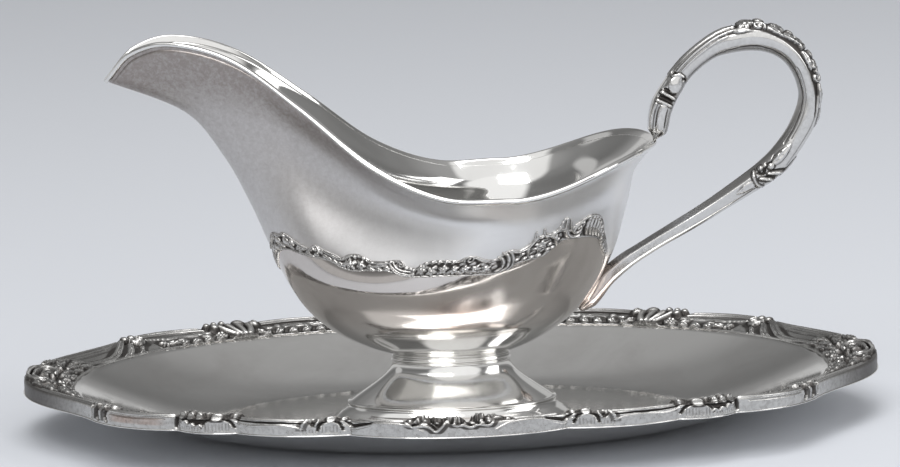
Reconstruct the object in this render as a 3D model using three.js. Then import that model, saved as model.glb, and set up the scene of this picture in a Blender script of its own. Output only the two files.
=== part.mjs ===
// A footed gravy boat standing loose in its oval underplate, in millimetres.
// +X runs from the bowl towards the handle, -X towards the spout, and +Z is up.
// The origin is under the middle of the underplate, on the surface that it stands on.

import * as THREE from 'three';
import { mergeVertices } from 'three/addons/utils/BufferGeometryUtils.js';

// Underplate: a sheet dish whose scalloped edge carries the cast border
const UNDERPLATE_LENGTH = 248;
const UNDERPLATE_WIDTH = 174;
const UNDERPLATE_CORNER = 2.2; // exponent of its oval: 2 is an ellipse, more is squarer
const PLATE_SHEET = 0.9;
const PLATE_RIM_HEIGHT = 13; // from the table to the underside of the flange
const WELL_LENGTH = 137; // the flat bottom
const WELL_WIDTH = 89;
const WELL_RISE_POWER = 1.4; // how late the side of the well turns up

// Border: four castings, end to end, on the flange
const BORDER_END_BAND = 15.6;
const BORDER_SIDE_BAND = 13.5;
const BORDER_LIP = 0.5; // the sheet's edge that shows outside the border
const BORDER_WALL = 2.6;
const BORDER_CROWN = 3.4;
const BORDER_SADDLE = 1.9;
const BORDER_BEAD = 1.2;
const BORDER_INNER_LIP = 0.7; // flange left bare inside the border

// The outline's lobes, from the end of the oval to its side, in degrees round the oval
const NOTCH_ANGLES = [35.2, 53.1, 62.5, 77.9];
const END_LOBE_BULGE = 3;
const RIBBON_LOBE_BULGE = 2.5;
const SHELL_LOBE_BULGE = 2.2;
const LEAF_LOBE_BULGE = 2.5;
const SIDE_LOBE_BULGE = 6.5;
const LOBE_ROUNDNESS = 0.8;
const END_LOBE_SHOULDER = 4.2; // draws the end lobe's flanks in: 1 is a plain bow

// Raised flower, shell and leaf clusters on the border's crown
const CLUSTERS = [
  { angle: 0, spread: 17, height: 1.3 },
  { angle: 38.5, spread: 2.2, height: 1.5 },
  { angle: 57.8, spread: 4, height: 2.4 },
  { angle: 74, spread: 2.6, height: 1 },
  { angle: 90, spread: 6, height: 1.2 },
];

// Pedestal
const FOOT_CLEARANCE = 0.3; // the loose boat over the plate
const FOOT_BASE_LENGTH = 70;
const FOOT_BASE_WIDTH = 42;
const FOOT_SHOULDER_LENGTH = 61;
const FOOT_SHOULDER_WIDTH = 36.4;
const FOOT_WAIST_LENGTH = 30;
const FOOT_WAIST_WIDTH = 18.4;
const FOOT_BAND_HEIGHT = 4.9;
const FOOT_FLARE_HEIGHT = 12;
const FOOT_FLARE_POWER = 2.1;
const FOOT_SHEET = 1;
const COLLAR_HEIGHT = 2.3;
const COLLAR_WALL = 2.4;

// Bowl: the outside of the sheet, heights from the bowl's bottom
const BOWL_SHEET = 1.1;
const BOWL_BOTTOM_LENGTH = 35;
const BOWL_BOTTOM_WIDTH = 21;
const BOWL_WIDTH = 84.6;
const BOWL_WIDEST_X = 17.7;
const SPOUT_REACH = 95;
const BACK_REACH = 59.2;
const SIDE_HEIGHT = 48;
const BACK_HEIGHT = 58.8;
const SPOUT_TIP_HEIGHT = 81;
const SPOUT_CREST_HEIGHT = 91.3;
const SPOUT_NARROWING = 0.48; // width of the spout against the oval that it grows from
const BACK_CORNER = 2.26; // the back of the rim is squarer than an ellipse

// Three upright profiles of the bowl: share of the reach, share of the height
const SPOUT_PROFILE = [
  [0, 0], [0.111, 0.039], [0.219, 0.096], [0.306, 0.171], [0.376, 0.272],
  [0.434, 0.398], [0.503, 0.557], [0.595, 0.728], [0.733, 0.89], [1, 1],
];
const SIDE_PROFILE = [
  [0, 0], [0.219, 0.059], [0.4375, 0.146], [0.619, 0.262], [0.759, 0.423],
  [0.834, 0.585], [0.859, 0.718], [0.878, 0.827], [0.909, 0.906], [1, 1],
];
const BACK_PROFILE = [
  [0, 0], [0.18, 0.056], [0.348, 0.131], [0.501, 0.223], [0.64, 0.361],
  [0.744, 0.517], [0.8, 0.656], [0.845, 0.781], [0.888, 0.9], [1, 1],
];
// Rise of the rim from its widest place to the tip: share of the way, share of the crest
const SPOUT_RISE = [
  [0, 0], [0.17, 0.019], [0.34, 0.209], [0.51, 0.564], [0.68, 0.882], [0.84, 1], [0.94, 0.933],
  [1, (SPOUT_TIP_HEIGHT - SIDE_HEIGHT) / (SPOUT_CREST_HEIGHT - SIDE_HEIGHT)],
];
const BACK_RISE_POWER = 1.68; // how late the rim rises towards the back

// Wire along the rim
const RIM_WIRE_HEIGHT = 2;
const RIM_WIRE_WIDTH = 2.3;

// Frieze round each side of the bowl, from the back to the spout. Rows: degrees round from
// the back, then its lower and its upper edge as shares of the way up the wall.
const FRIEZE_THICKNESS = 0.8;
const FRIEZE_EDGES = [
  [26, 0.525, 0.57], [31, 0.56, 0.665], [37, 0.605, 0.73], [45, 0.65, 0.765], [55, 0.68, 0.785],
  [63, 0.68, 0.79], [72, 0.615, 0.735], [80, 0.575, 0.67], [90, 0.555, 0.635], [105, 0.54, 0.6],
  [120, 0.545, 0.6], [140, 0.565, 0.61], [155, 0.56, 0.625], [166, 0.53, 0.605],
];

// Handle: its middle line in the plane y = 0, as rows of x, z and half its thickness.
// The loop's rows are measured from the rim's back, the stem's from its root on the bowl.
const HANDLE_WALL = 0.9;
const HANDLE_DEPTH_RATIO = 1.12; // depth across the handle against its thickness
const HANDLE_LOOP = [
  [0.3, 0.65, 1.5], [0.5, 1.75, 2.7], [1.7, 8, 3.1], [4.7, 13.7, 2.9], [9.2, 19.6, 2.9],
  [15.1, 24.4, 3.1], [20.3, 26.8, 3.7], [27.9, 28.4, 4.5], [34.5, 26.9, 4.1], [39.6, 23.5, 3.8],
  [42.9, 18.7, 3.6], [44.6, 13, 3.4], [44.6, 8.7, 3.4], [43.1, 3.7, 3.5], [40.1, -1.7, 3.4],
  [35.7, -7.4, 3.5], [31.5, -11.3, 3.5],
];
const HANDLE_STEM = [
  [43.4, 25.8, 3.1], [35.2, 20.6, 2.7], [29.3, 17, 2.55], [23.5, 13.7, 2.45], [17.6, 10.4, 2.3],
  [11.7, 6.9, 2.3], [7, 3.9, 2.5],
];
const HANDLE_ROOT = [[0.435, 2.3], [0.385, 2.15], [0.335, 2.2]]; // share up the wall, half thickness

const SEAM_GAP = 0.3; // between curved pieces that are soldered on each other

const SILVER = { color: 0xc9c7c2, metalness: 1, roughness: 0.18 };
const SATIN_SILVER = { color: 0xbdbcb8, metalness: 1, roughness: 0.36 };
const CAST_SILVER = { color: 0xaaa7a0, metalness: 1, roughness: 0.28 };

const DEGREE = Math.PI / 180;

function smoothStep(low, high, value) {
  const share = Math.min(1, Math.max(0, (value - low) / (high - low)));
  return share * share * (3 - 2 * share);
}

function mix(from, to, share) {
  return from + (to - from) * share;
}

// Smooth curve through a table of [x, y] rows, read at one x
function valueAt(table, x) {
  const last = table.length - 1;
  let row = 0;
  while (row < last - 1 && x > table[row + 1][0]) row += 1;
  const slope = (a, b) => (table[b][1] - table[a][1]) / (table[b][0] - table[a][0]);
  const left = slope(Math.max(row - 1, 0), row + 1);
  const right = slope(row, Math.min(row + 2, last));
  const width = table[row + 1][0] - table[row][0];
  const s = (x - table[row][0]) / width;
  const start = table[row][1];
  const end = table[row + 1][1];
  return start * (1 + 2 * s) * (1 - s) * (1 - s) + end * s * s * (3 - 2 * s)
    + width * (left * s * (1 - s) * (1 - s) - right * s * s * (1 - s));
}

function profileCurve(rows) {
  return new THREE.SplineCurve(rows.map(([reach, height]) => new THREE.Vector2(reach, height)));
}

// Closed body through closed loops of points that all have the same count.
// Loops that share points close up there. Open bodies get a flat face at each end.
function skin(loops, around) {
  const count = loops[0].length;
  const points = loops.flat();
  const triangles = [];
  const steps = around ? loops.length : loops.length - 1;
  for (let i = 0; i < steps; i += 1) {
    const here = i * count;
    const next = ((i + 1) % loops.length) * count;
    for (let j = 0; j < count; j += 1) {
      const k = (j + 1) % count;
      triangles.push([here + j, next + j, next + k], [here + j, next + k, here + k]);
    }
  }
  if (!around) {
    for (const face of endFace(loops[0])) triangles.push(face);
    const first = (loops.length - 1) * count;
    for (const [a, b, c] of endFace(loops[loops.length - 1])) {
      triangles.push([first + a, first + c, first + b]);
    }
  }
  let geometry = new THREE.BufferGeometry();
  geometry.setAttribute('position', new THREE.Float32BufferAttribute(points.flatMap((p) => [p.x, p.y, p.z]), 3));
  geometry.setIndex(triangles.flat());
  geometry = mergeVertices(geometry, 1e-4);
  const kept = [];
  const index = geometry.index.array;
  for (let i = 0; i < index.length; i += 3) {
    const [a, b, c] = [index[i], index[i + 1], index[i + 2]];
    if (a !== b && b !== c && c !== a) kept.push(a, b, c);
  }
  geometry.setIndex(kept);
  if (signedVolume(geometry) < 0) geometry.setIndex(kept.reverse());
  geometry.computeVertexNormals();
  return geometry;
}

// Triangles over one flat loop, wound so that they close the start of a skin
function endFace(loop) {
  const normal = new THREE.Vector3();
  for (let i = 0; i < loop.length; i += 1) {
    normal.add(loop[i].clone().cross(loop[(i + 1) % loop.length]));
  }
  normal.normalize();
  const across = Math.abs(normal.z) > 0.9 ? new THREE.Vector3(1, 0, 0) : new THREE.Vector3(0, 0, 1);
  const side = new THREE.Vector3().crossVectors(across, normal).normalize();
  const up = new THREE.Vector3().crossVectors(normal, side);
  const flat = loop.map((p) => new THREE.Vector2(p.dot(side), p.dot(up)));
  const faces = THREE.ShapeUtils.triangulateShape(flat, []);
  return faces.map(([a, b, c]) => {
    const area = (flat[b].x - flat[a].x) * (flat[c].y - flat[a].y)
      - (flat[c].x - flat[a].x) * (flat[b].y - flat[a].y);
    return area > 0 ? [a, b, c] : [a, c, b];
  });
}

function signedVolume(geometry) {
  const at = (i) => new THREE.Vector3().fromBufferAttribute(geometry.attributes.position, i);
  const index = geometry.index.array;
  let volume = 0;
  for (let i = 0; i < index.length; i += 3) {
    volume += at(index[i]).dot(at(index[i + 1]).cross(at(index[i + 2]))) / 6;
  }
  return volume;
}

function ovalPoint(angle, halfLength, halfWidth, corner) {
  const c = Math.cos(angle);
  const s = Math.sin(angle);
  return new THREE.Vector2(
    halfLength * Math.sign(c) * Math.abs(c) ** (2 / corner),
    halfWidth * Math.sign(s) * Math.abs(s) ** (2 / corner),
  );
}

// Body of one closed profile carried round an oval: rows of [half length, half width, height]
function ovalBody(rows, steps, corner = 2) {
  const loops = [];
  for (let i = 0; i < steps; i += 1) {
    const angle = (2 * Math.PI * i) / steps;
    loops.push(rows.map(([halfLength, halfWidth, z]) => {
      const p = ovalPoint(angle, halfLength, halfWidth, corner);
      return new THREE.Vector3(p.x, p.y, z);
    }));
  }
  return skin(loops, true);
}

// The underplate's outline

const LOBES = [
  { from: -NOTCH_ANGLES[0], to: NOTCH_ANGLES[0], bulge: END_LOBE_BULGE, steps: 12 },
  { from: NOTCH_ANGLES[0], to: NOTCH_ANGLES[1], bulge: RIBBON_LOBE_BULGE, steps: 5 },
  { from: NOTCH_ANGLES[1], to: NOTCH_ANGLES[2], bulge: SHELL_LOBE_BULGE, steps: 4 },
  { from: NOTCH_ANGLES[2], to: NOTCH_ANGLES[3], bulge: LEAF_LOBE_BULGE, steps: 5 },
  { from: NOTCH_ANGLES[3], to: 180 - NOTCH_ANGLES[3], bulge: SIDE_LOBE_BULGE, steps: 7 },
];

// Degrees round the oval folded into its first quarter
function quarterAngle(degrees) {
  const half = Math.abs(((degrees % 180) + 180) % 180);
  return Math.min(half, 180 - half);
}

function lobeBulge(degrees) {
  const folded = quarterAngle(degrees);
  const lobe = LOBES.find(({ to }) => folded <= to + 1e-9);
  const share = (folded - lobe.from) / (lobe.to - lobe.from);
  if (lobe === LOBES[0]) {
    const off = folded / lobe.to;
    return lobe.bulge * (1 - off * off) * (1 - END_LOBE_SHOULDER * off * off);
  }
  return lobe.bulge * Math.max(0, Math.sin(Math.PI * share)) ** LOBE_ROUNDNESS;
}

function edgePoint(degrees) {
  const halfLength = UNDERPLATE_LENGTH / 2 - END_LOBE_BULGE;
  const halfWidth = UNDERPLATE_WIDTH / 2 - SIDE_LOBE_BULGE;
  const p = ovalPoint(degrees * DEGREE, halfLength, halfWidth, UNDERPLATE_CORNER);
  const steepness = UNDERPLATE_CORNER - 1;
  const outward = new THREE.Vector2(
    (Math.sign(p.x) * Math.abs(p.x / halfLength) ** steepness) / halfLength,
    (Math.sign(p.y) * Math.abs(p.y / halfWidth) ** steepness) / halfWidth,
  ).normalize();
  return p.addScaledVector(outward, lobeBulge(degrees));
}

function innerPoint(degrees) {
  return ovalPoint(degrees * DEGREE, UNDERPLATE_LENGTH / 2 - BORDER_END_BAND,
    UNDERPLATE_WIDTH / 2 - BORDER_SIDE_BAND, UNDERPLATE_CORNER);
}

function clusterHeight(degrees) {
  const folded = quarterAngle(degrees);
  return Math.max(...CLUSTERS.map(({ angle, spread, height }) => (
    height * Math.exp(-(((folded - angle) / spread) ** 2))
  )));
}

// Angles of one lobe, in steps, without its last
function lobeAngles(lobe, mirrored) {
  const angles = [];
  for (let i = 0; i < lobe.steps; i += 1) {
    const share = i / lobe.steps;
    angles.push(mirrored ? 180 - mix(lobe.to, lobe.from, share) : mix(lobe.from, lobe.to, share));
  }
  return angles;
}

const END_ANGLES = lobeAngles(LOBES[0], false);
const SIDE_ANGLES = [
  ...LOBES.slice(1).flatMap((lobe) => lobeAngles(lobe, false)),
  ...LOBES.slice(1, 4).reverse().flatMap((lobe) => lobeAngles(lobe, true)),
];

const flangeTop = PLATE_RIM_HEIGHT + PLATE_SHEET;

function underplateSheet() {
  const angles = [0, 180].flatMap((turn) => [...END_ANGLES, ...SIDE_ANGLES].map((a) => a + turn));
  const wellShares = [0, 0.25, 0.5, 0.75, 1];
  const loops = angles.map((degrees) => {
    const edge = edgePoint(degrees);
    const inner = innerPoint(degrees);
    const well = ovalPoint(degrees * DEGREE, WELL_LENGTH / 2, WELL_WIDTH / 2, 2);
    const under = [new THREE.Vector3(0, 0, 0)];
    for (const share of wellShares) {
      const p = well.clone().lerp(inner, share);
      under.push(new THREE.Vector3(p.x, p.y, PLATE_RIM_HEIGHT * share ** WELL_RISE_POWER));
    }
    under.push(new THREE.Vector3(edge.x, edge.y, PLATE_RIM_HEIGHT));
    const over = under.map((p) => new THREE.Vector3(p.x, p.y, p.z + PLATE_SHEET)).reverse();
    return [...under, ...over];
  });
  return skin(loops, true);
}

// Cross-section of the border: distance in from the sheet's edge, height over the flange
function borderSection(degrees) {
  const edge = edgePoint(degrees);
  const inner = innerPoint(degrees);
  const band = edge.distanceTo(inner);
  const relief = clusterHeight(degrees);
  const rows = [
    [BORDER_LIP, 0],
    [BORDER_LIP, BORDER_WALL + relief * 0.5],
    [BORDER_LIP + 1.1, BORDER_CROWN + relief],
    [band * 0.34, BORDER_CROWN - 0.4 + relief * 0.8],
    [band * 0.62, BORDER_SADDLE + relief * 0.6],
    [band - BORDER_INNER_LIP - 0.9, BORDER_BEAD + relief * 0.2],
    [band - BORDER_INNER_LIP, BORDER_BEAD * 0.5],
    [band - BORDER_INNER_LIP, 0],
  ];
  return rows.map(([inward, height]) => {
    const p = edge.clone().lerp(inner, inward / band);
    return new THREE.Vector3(p.x, p.y, flangeTop + height);
  });
}

function borderCasting(angles) {
  return skin(angles.map(borderSection), false);
}

// The pedestal, from its open underside up to the bowl

const footBottom = PLATE_SHEET + FOOT_CLEARANCE;
const footShoulder = footBottom + FOOT_BAND_HEIGHT;
const footTop = footShoulder + FOOT_FLARE_HEIGHT;
const bowlBottom = footTop + COLLAR_HEIGHT;

function footBaseBand() {
  const baseX = FOOT_BASE_LENGTH / 2;
  const baseY = FOOT_BASE_WIDTH / 2;
  const topX = FOOT_SHOULDER_LENGTH / 2 - FOOT_SHEET * 0.4;
  const topY = FOOT_SHOULDER_WIDTH / 2 - FOOT_SHEET * 0.4;
  // A shallow ogee: the shares of its height and of its spread
  const ogee = [[1, 0], [0.85, 0.12], [0.55, 0.45], [0.25, 0.8], [0.1, 1], [0, 1]];
  const outside = ogee.map(([height, spread]) => [
    mix(topX, baseX, spread), mix(topY, baseY, spread), footBottom + FOOT_BAND_HEIGHT * height,
  ]);
  const inside = outside.slice().reverse().map(([x, y, z]) => [x - FOOT_SHEET, y - FOOT_SHEET, z]);
  return ovalBody([...outside, ...inside], 44);
}

function pedestalFoot() {
  const rows = [0, 0.09, 0.24, 0.44, 0.7, 1].map((height) => {
    const flare = (1 - height) ** FOOT_FLARE_POWER;
    return [
      mix(FOOT_WAIST_LENGTH, FOOT_SHOULDER_LENGTH, flare) / 2,
      mix(FOOT_WAIST_WIDTH, FOOT_SHOULDER_WIDTH, flare) / 2,
      footShoulder + FOOT_FLARE_HEIGHT * height,
    ];
  });
  const inside = rows.slice().reverse().map(([x, y, z]) => {
    const drop = z > footShoulder && z < footTop ? FOOT_SHEET * 0.5 : 0;
    return [x - FOOT_SHEET, y - FOOT_SHEET, Math.max(footShoulder, z - drop)];
  });
  return ovalBody([...rows, ...inside], 44);
}

function neckCollar() {
  const waistX = FOOT_WAIST_LENGTH / 2;
  const waistY = FOOT_WAIST_WIDTH / 2;
  const topX = BOWL_BOTTOM_LENGTH / 2;
  const topY = BOWL_BOTTOM_WIDTH / 2;
  const rows = [
    [waistX, waistY, footTop],
    [mix(waistX, topX, 0.15), mix(waistY, topY, 0.15), footTop + COLLAR_HEIGHT * 0.35],
    [mix(waistX, topX, 0.85), mix(waistY, topY, 0.85), footTop + COLLAR_HEIGHT * 0.6],
    [topX, topY, footTop + COLLAR_HEIGHT * 0.8],
    [topX, topY, bowlBottom],
    [waistX - COLLAR_WALL, waistY - COLLAR_WALL, bowlBottom],
    [waistX - COLLAR_WALL, waistY - COLLAR_WALL, footTop],
  ];
  return ovalBody(rows, 44);
}

// The bowl's outside, at a share of the way up its wall and an angle round it:
// 0 is the back, under the handle, and half a turn is the spout.

const spoutCurve = profileCurve(SPOUT_PROFILE);
const sideCurve = profileCurve(SIDE_PROFILE);
const backCurve = profileCurve(BACK_PROFILE);

function bowlPoint(up, angle) {
  const c = Math.cos(angle);
  const s = Math.sin(angle);
  const side = sideCurve.getPoint(up);
  const plan = smoothStep(0.45, 0.85, up);
  const rimLike = Math.max(0, (up - 0.55) / 0.45) ** 2.2;
  const widestX = BOWL_WIDEST_X * smoothStep(0.3, 1, up);
  const halfWidth = mix(BOWL_BOTTOM_WIDTH, BOWL_WIDTH, side.x) / 2;
  const sideHeight = SIDE_HEIGHT * side.y;
  if (c < 0) {
    const spout = spoutCurve.getPoint(up);
    const reach = mix(BOWL_BOTTOM_LENGTH / 2, SPOUT_REACH, spout.x);
    const rim = valueAt(SPOUT_RISE, -c) / valueAt(SPOUT_RISE, 1);
    const rise = mix(c * c, rim, rimLike);
    const narrow = mix(1, mix(1, SPOUT_NARROWING, smoothStep(0, 0.72, -c)), plan);
    const z = sideHeight + (SPOUT_TIP_HEIGHT * spout.y - sideHeight) * rise;
    return new THREE.Vector3(widestX + (reach + widestX) * c, halfWidth * s * narrow, bowlBottom + z);
  }
  const back = backCurve.getPoint(up);
  const reach = mix(BOWL_BOTTOM_LENGTH / 2, BACK_REACH, back.x);
  const corner = mix(2, BACK_CORNER, plan);
  const p = ovalPoint(angle, 1, 1, corner);
  const rim = Math.sin((Math.PI / 2) * p.x ** BACK_RISE_POWER);
  const rise = mix(p.x * p.x, rim, rimLike);
  const z = sideHeight + (BACK_HEIGHT * back.y - sideHeight) * rise;
  return new THREE.Vector3(widestX + (reach - widestX) * p.x, halfWidth * p.y, bowlBottom + z);
}

// Directions at a place on the bowl: up along its wall, and straight out of it
function bowlFrame(up, angle) {
  const step = 1e-3;
  const low = Math.max(0, up - step);
  const high = Math.min(1, up + step);
  const wall = bowlPoint(high, angle).sub(bowlPoint(low, angle)).normalize();
  const round = bowlPoint(up, angle + step).sub(bowlPoint(up, angle - step)).normalize();
  const out = new THREE.Vector3().crossVectors(round, wall).normalize();
  if (Math.abs(Math.sin(angle)) < 1e-6) {
    out.setY(0).normalize();
    wall.setY(0).normalize();
  }
  return { wall, out };
}

function bowlOffset(up, angle, outward, upward = 0) {
  const { wall, out } = bowlFrame(up, angle);
  return bowlPoint(up, angle).addScaledVector(out, outward).addScaledVector(wall, upward);
}

const ROUND_STEPS = 28;
const FRIEZE_STEPS = 26;
const UP_STEPS = 11;

function halfAngles(sign) {
  return Array.from({ length: ROUND_STEPS + 1 }, (_, i) => (sign * Math.PI * i) / ROUND_STEPS);
}

// One struck half of the bowl, with half of its closed bottom, cut flat on y = 0
function bowlHalf(sign) {
  const floor = new THREE.Vector3(0, 0, bowlBottom);
  const floorTop = new THREE.Vector3(0, 0, bowlBottom + BOWL_SHEET);
  const loops = halfAngles(sign).map((angle) => {
    const outside = [];
    const inside = [];
    for (let i = 0; i <= UP_STEPS; i += 1) {
      const up = i / UP_STEPS;
      outside.push(bowlPoint(up, angle));
      const p = bowlOffset(up, angle, -BOWL_SHEET);
      inside.push(i === 0 ? p.setZ(bowlBottom + BOWL_SHEET) : p);
    }
    const loop = [floor, ...outside, ...inside.reverse(), floorTop];
    if (Math.abs(Math.sin(angle)) < 1e-6) {
      return loop.map((p) => p.clone().setY(0));
    }
    return loop;
  });
  return skin(loops, false);
}

// Section of the wire on the edge of the bowl, at one angle
function rimSection(angle) {
  const low = SEAM_GAP;
  const high = SEAM_GAP + RIM_WIRE_HEIGHT;
  const outer = (RIM_WIRE_WIDTH - BOWL_SHEET) / 2;
  const inner = outer - RIM_WIRE_WIDTH;
  const shoulder = RIM_WIRE_WIDTH * 0.09;
  const rows = [
    [outer - shoulder, low], [outer, mix(low, high, 0.3)], [outer - shoulder, mix(low, high, 0.8)],
    [(outer + inner) / 2, high],
    [inner + shoulder, mix(low, high, 0.8)], [inner, mix(low, high, 0.3)], [inner + shoulder, low],
  ];
  return rows.map(([outward, upward]) => bowlOffset(1, angle, outward, upward));
}

function rimWire() {
  const steps = ROUND_STEPS * 2;
  return skin(Array.from({ length: steps }, (_, i) => rimSection((2 * Math.PI * i) / steps)), true);
}

// Half of the frieze: a thin wavy strip on one half of the bowl
function friezeStrip(sign) {
  const lowEdge = FRIEZE_EDGES.map(([degrees, low]) => [degrees, low]);
  const highEdge = FRIEZE_EDGES.map(([degrees, , high]) => [degrees, high]);
  const first = FRIEZE_EDGES[0][0];
  const last = FRIEZE_EDGES[FRIEZE_EDGES.length - 1][0];
  const loops = [];
  for (let i = 0; i <= FRIEZE_STEPS; i += 1) {
    const degrees = mix(first, last, i / FRIEZE_STEPS);
    const low = valueAt(lowEdge, degrees);
    const high = valueAt(highEdge, degrees);
    const rows = [
      [low, SEAM_GAP], [mix(low, high, 0.5), SEAM_GAP], [high, SEAM_GAP],
      [high, SEAM_GAP + FRIEZE_THICKNESS * 0.6], [mix(low, high, 0.5), SEAM_GAP + FRIEZE_THICKNESS],
      [low, SEAM_GAP + FRIEZE_THICKNESS * 0.8],
    ];
    loops.push(rows.map(([up, outward]) => bowlOffset(up, sign * degrees * DEGREE, outward)));
  }
  return skin(loops, false);
}

// Handle

// Middle line of the handle as [x, z, half thickness], from its pointed upper end to its root
function handleRows() {
  const lip = rimSection(0);
  const lipX = Math.max(...lip.map((p) => p.x));
  const lipZ = Math.max(...lip.map((p) => p.z));
  const root = bowlPoint(HANDLE_ROOT[0][0], 0);
  const onBowl = HANDLE_ROOT.map(([up, half]) => {
    const p = bowlOffset(up, 0, half + SEAM_GAP + 0.1);
    return [p.x, p.z, half];
  });
  return [
    ...HANDLE_LOOP.map(([x, z, half]) => [lipX + x, lipZ + z, half]),
    ...HANDLE_STEM.map(([x, z, half]) => [root.x + x, root.z + z, half]),
    ...onBowl,
  ];
}

function handleHalf(sign) {
  const rows = handleRows();
  const path = new THREE.CatmullRomCurve3(rows.map(([x, z]) => new THREE.Vector3(x, 0, z)), false, 'centripetal');
  const sideways = new THREE.Vector3(0, sign, 0);
  const outsideTurns = [0, 0.22, 0.5, 0.78, 1];
  const insideTurns = [1, 0.5, 0];
  const loops = [];
  const stepsPerRow = 2;
  const steps = (rows.length - 1) * stepsPerRow;
  for (let i = 0; i <= steps; i += 1) {
    const t = i / steps;
    const centre = path.getPoint(t);
    const along = path.getTangent(t);
    const across = new THREE.Vector3(-along.z, 0, along.x);
    const row = Math.min(Math.floor(i / stepsPerRow), rows.length - 2);
    const half = mix(rows[row][2], rows[row + 1][2], i / stepsPerRow - row);
    const hollow = Math.max(half - HANDLE_WALL, half * 0.35);
    const place = (radius, turn) => centre.clone()
      .addScaledVector(across, radius * Math.cos(Math.PI * turn))
      .addScaledVector(sideways, radius * HANDLE_DEPTH_RATIO * Math.sin(Math.PI * turn));
    const loop = [
      ...outsideTurns.map((turn) => place(half, turn)),
      ...insideTurns.map((turn) => place(hollow, turn)),
    ];
    for (const p of loop) {
      if (Math.abs(p.y) < 1e-6) p.setY(0);
    }
    loops.push(loop);
  }
  return skin(loops, false);
}

const group = new THREE.Group();

function add(name, geometry, look) {
  const mesh = new THREE.Mesh(geometry, new THREE.MeshStandardMaterial(look));
  mesh.name = name;
  group.add(mesh);
}

add('underplate_sheet', underplateSheet(), SILVER);
const sideEnd = 180 - NOTCH_ANGLES[0];
add('border_right_end', borderCasting([...END_ANGLES, NOTCH_ANGLES[0]]), CAST_SILVER);
add('border_back_side', borderCasting([...SIDE_ANGLES, sideEnd]), CAST_SILVER);
add('border_left_end', borderCasting([...END_ANGLES, NOTCH_ANGLES[0]].map((a) => a + 180)), CAST_SILVER);
add('border_front_side', borderCasting([...SIDE_ANGLES, sideEnd].map((a) => a + 180)), CAST_SILVER);
add('foot_base_band', footBaseBand(), SILVER);
add('pedestal_foot', pedestalFoot(), SILVER);
add('neck_collar', neckCollar(), SILVER);
add('bowl_back_half', bowlHalf(1), SATIN_SILVER);
add('bowl_front_half', bowlHalf(-1), SATIN_SILVER);
add('rim_wire', rimWire(), SILVER);
add('frieze_back_strip', friezeStrip(1), CAST_SILVER);
add('frieze_front_strip', friezeStrip(-1), CAST_SILVER);
add('handle_back_half', handleHalf(1), CAST_SILVER);
add('handle_front_half', handleHalf(-1), CAST_SILVER);

export default group;
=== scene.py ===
import math
import bpy
import numpy as np
from mathutils import Matrix


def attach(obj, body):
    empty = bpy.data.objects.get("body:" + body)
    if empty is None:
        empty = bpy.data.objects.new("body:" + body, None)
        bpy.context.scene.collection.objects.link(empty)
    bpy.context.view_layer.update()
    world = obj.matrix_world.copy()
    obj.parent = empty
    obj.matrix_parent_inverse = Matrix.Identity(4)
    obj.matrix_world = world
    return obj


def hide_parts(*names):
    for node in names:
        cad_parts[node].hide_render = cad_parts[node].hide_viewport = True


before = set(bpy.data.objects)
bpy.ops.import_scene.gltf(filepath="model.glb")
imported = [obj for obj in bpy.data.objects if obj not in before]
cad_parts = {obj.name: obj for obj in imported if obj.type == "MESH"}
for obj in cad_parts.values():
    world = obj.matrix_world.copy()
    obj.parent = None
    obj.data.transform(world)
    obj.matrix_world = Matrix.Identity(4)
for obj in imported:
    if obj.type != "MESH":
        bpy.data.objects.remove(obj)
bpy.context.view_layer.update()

MM = 0.001

# Sizes in millimetres. They are those of the solids, apart from the foot's waist and flare, which are
# a little wider here, and the outline of the rim, which is finer.

PLATE_LENGTH = 247.9
PLATE_WIDTH = 173.6
PLATE_CORNER = 2.2
PLATE_SHEET = 0.9
PLATE_RIM_HEIGHT = 13.0
WELL_LENGTH = 137.0
WELL_WIDTH = 89.0
WELL_RISE_POWER = 1.4
FLANGE_TOP = PLATE_RIM_HEIGHT + PLATE_SHEET

BORDER_END_BAND = 15.6
BORDER_SIDE_BAND = 13.5
BORDER_CROWN = 3.4
BORDER_SADDLE = 1.5
BORDER_BEAD = 1.0
BORDER_INNER_LIP = 0.7
CREST_INSET = 1.6
WALL_INSET = 0.3
WALL_DROP = 0.55
# Notches between the lobes: degrees round the oval from its end
NOTCHES = (35.2, 53.1, 62.5, 77.9)
END_BULGE = 3.0
SIDE_BULGE = 6.5
LOBE_BULGES = (2.5, 2.2, 2.5, SIDE_BULGE)
LOBE_ROUNDNESS = 0.8
END_SHOULDER = 4.2

FOOT_BASE = (70.0, 42.0)
FOOT_SHOULDER = (61.0, 36.4)
FOOT_WAIST = (34.0, 20.8)
FOOT_CLEARANCE = 0.3
FOOT_BAND_HEIGHT = 4.9
FOOT_FLARE_HEIGHT = 12.0
FOOT_FLARE_POWER = 2.0
FOOT_SHOULDER_ROUNDNESS = 0.45
FOOT_SHEET = 1.0
COLLAR_HEIGHT = 2.3
COLLAR_SHEET = 2.4
OVAL_STEPS = 256
FOOT_BOTTOM = PLATE_SHEET + FOOT_CLEARANCE
FOOT_SHOULDER_Z = FOOT_BOTTOM + FOOT_BAND_HEIGHT
FOOT_TOP = FOOT_SHOULDER_Z + FOOT_FLARE_HEIGHT
BOWL_BOTTOM = FOOT_TOP + COLLAR_HEIGHT
SHEET_INWARD = (FOOT_SHEET, FOOT_SHEET, 0)
# How far the shoulder line stands out, and half its height
FOOT_BEAD = (0.45, 0.35)

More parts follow.
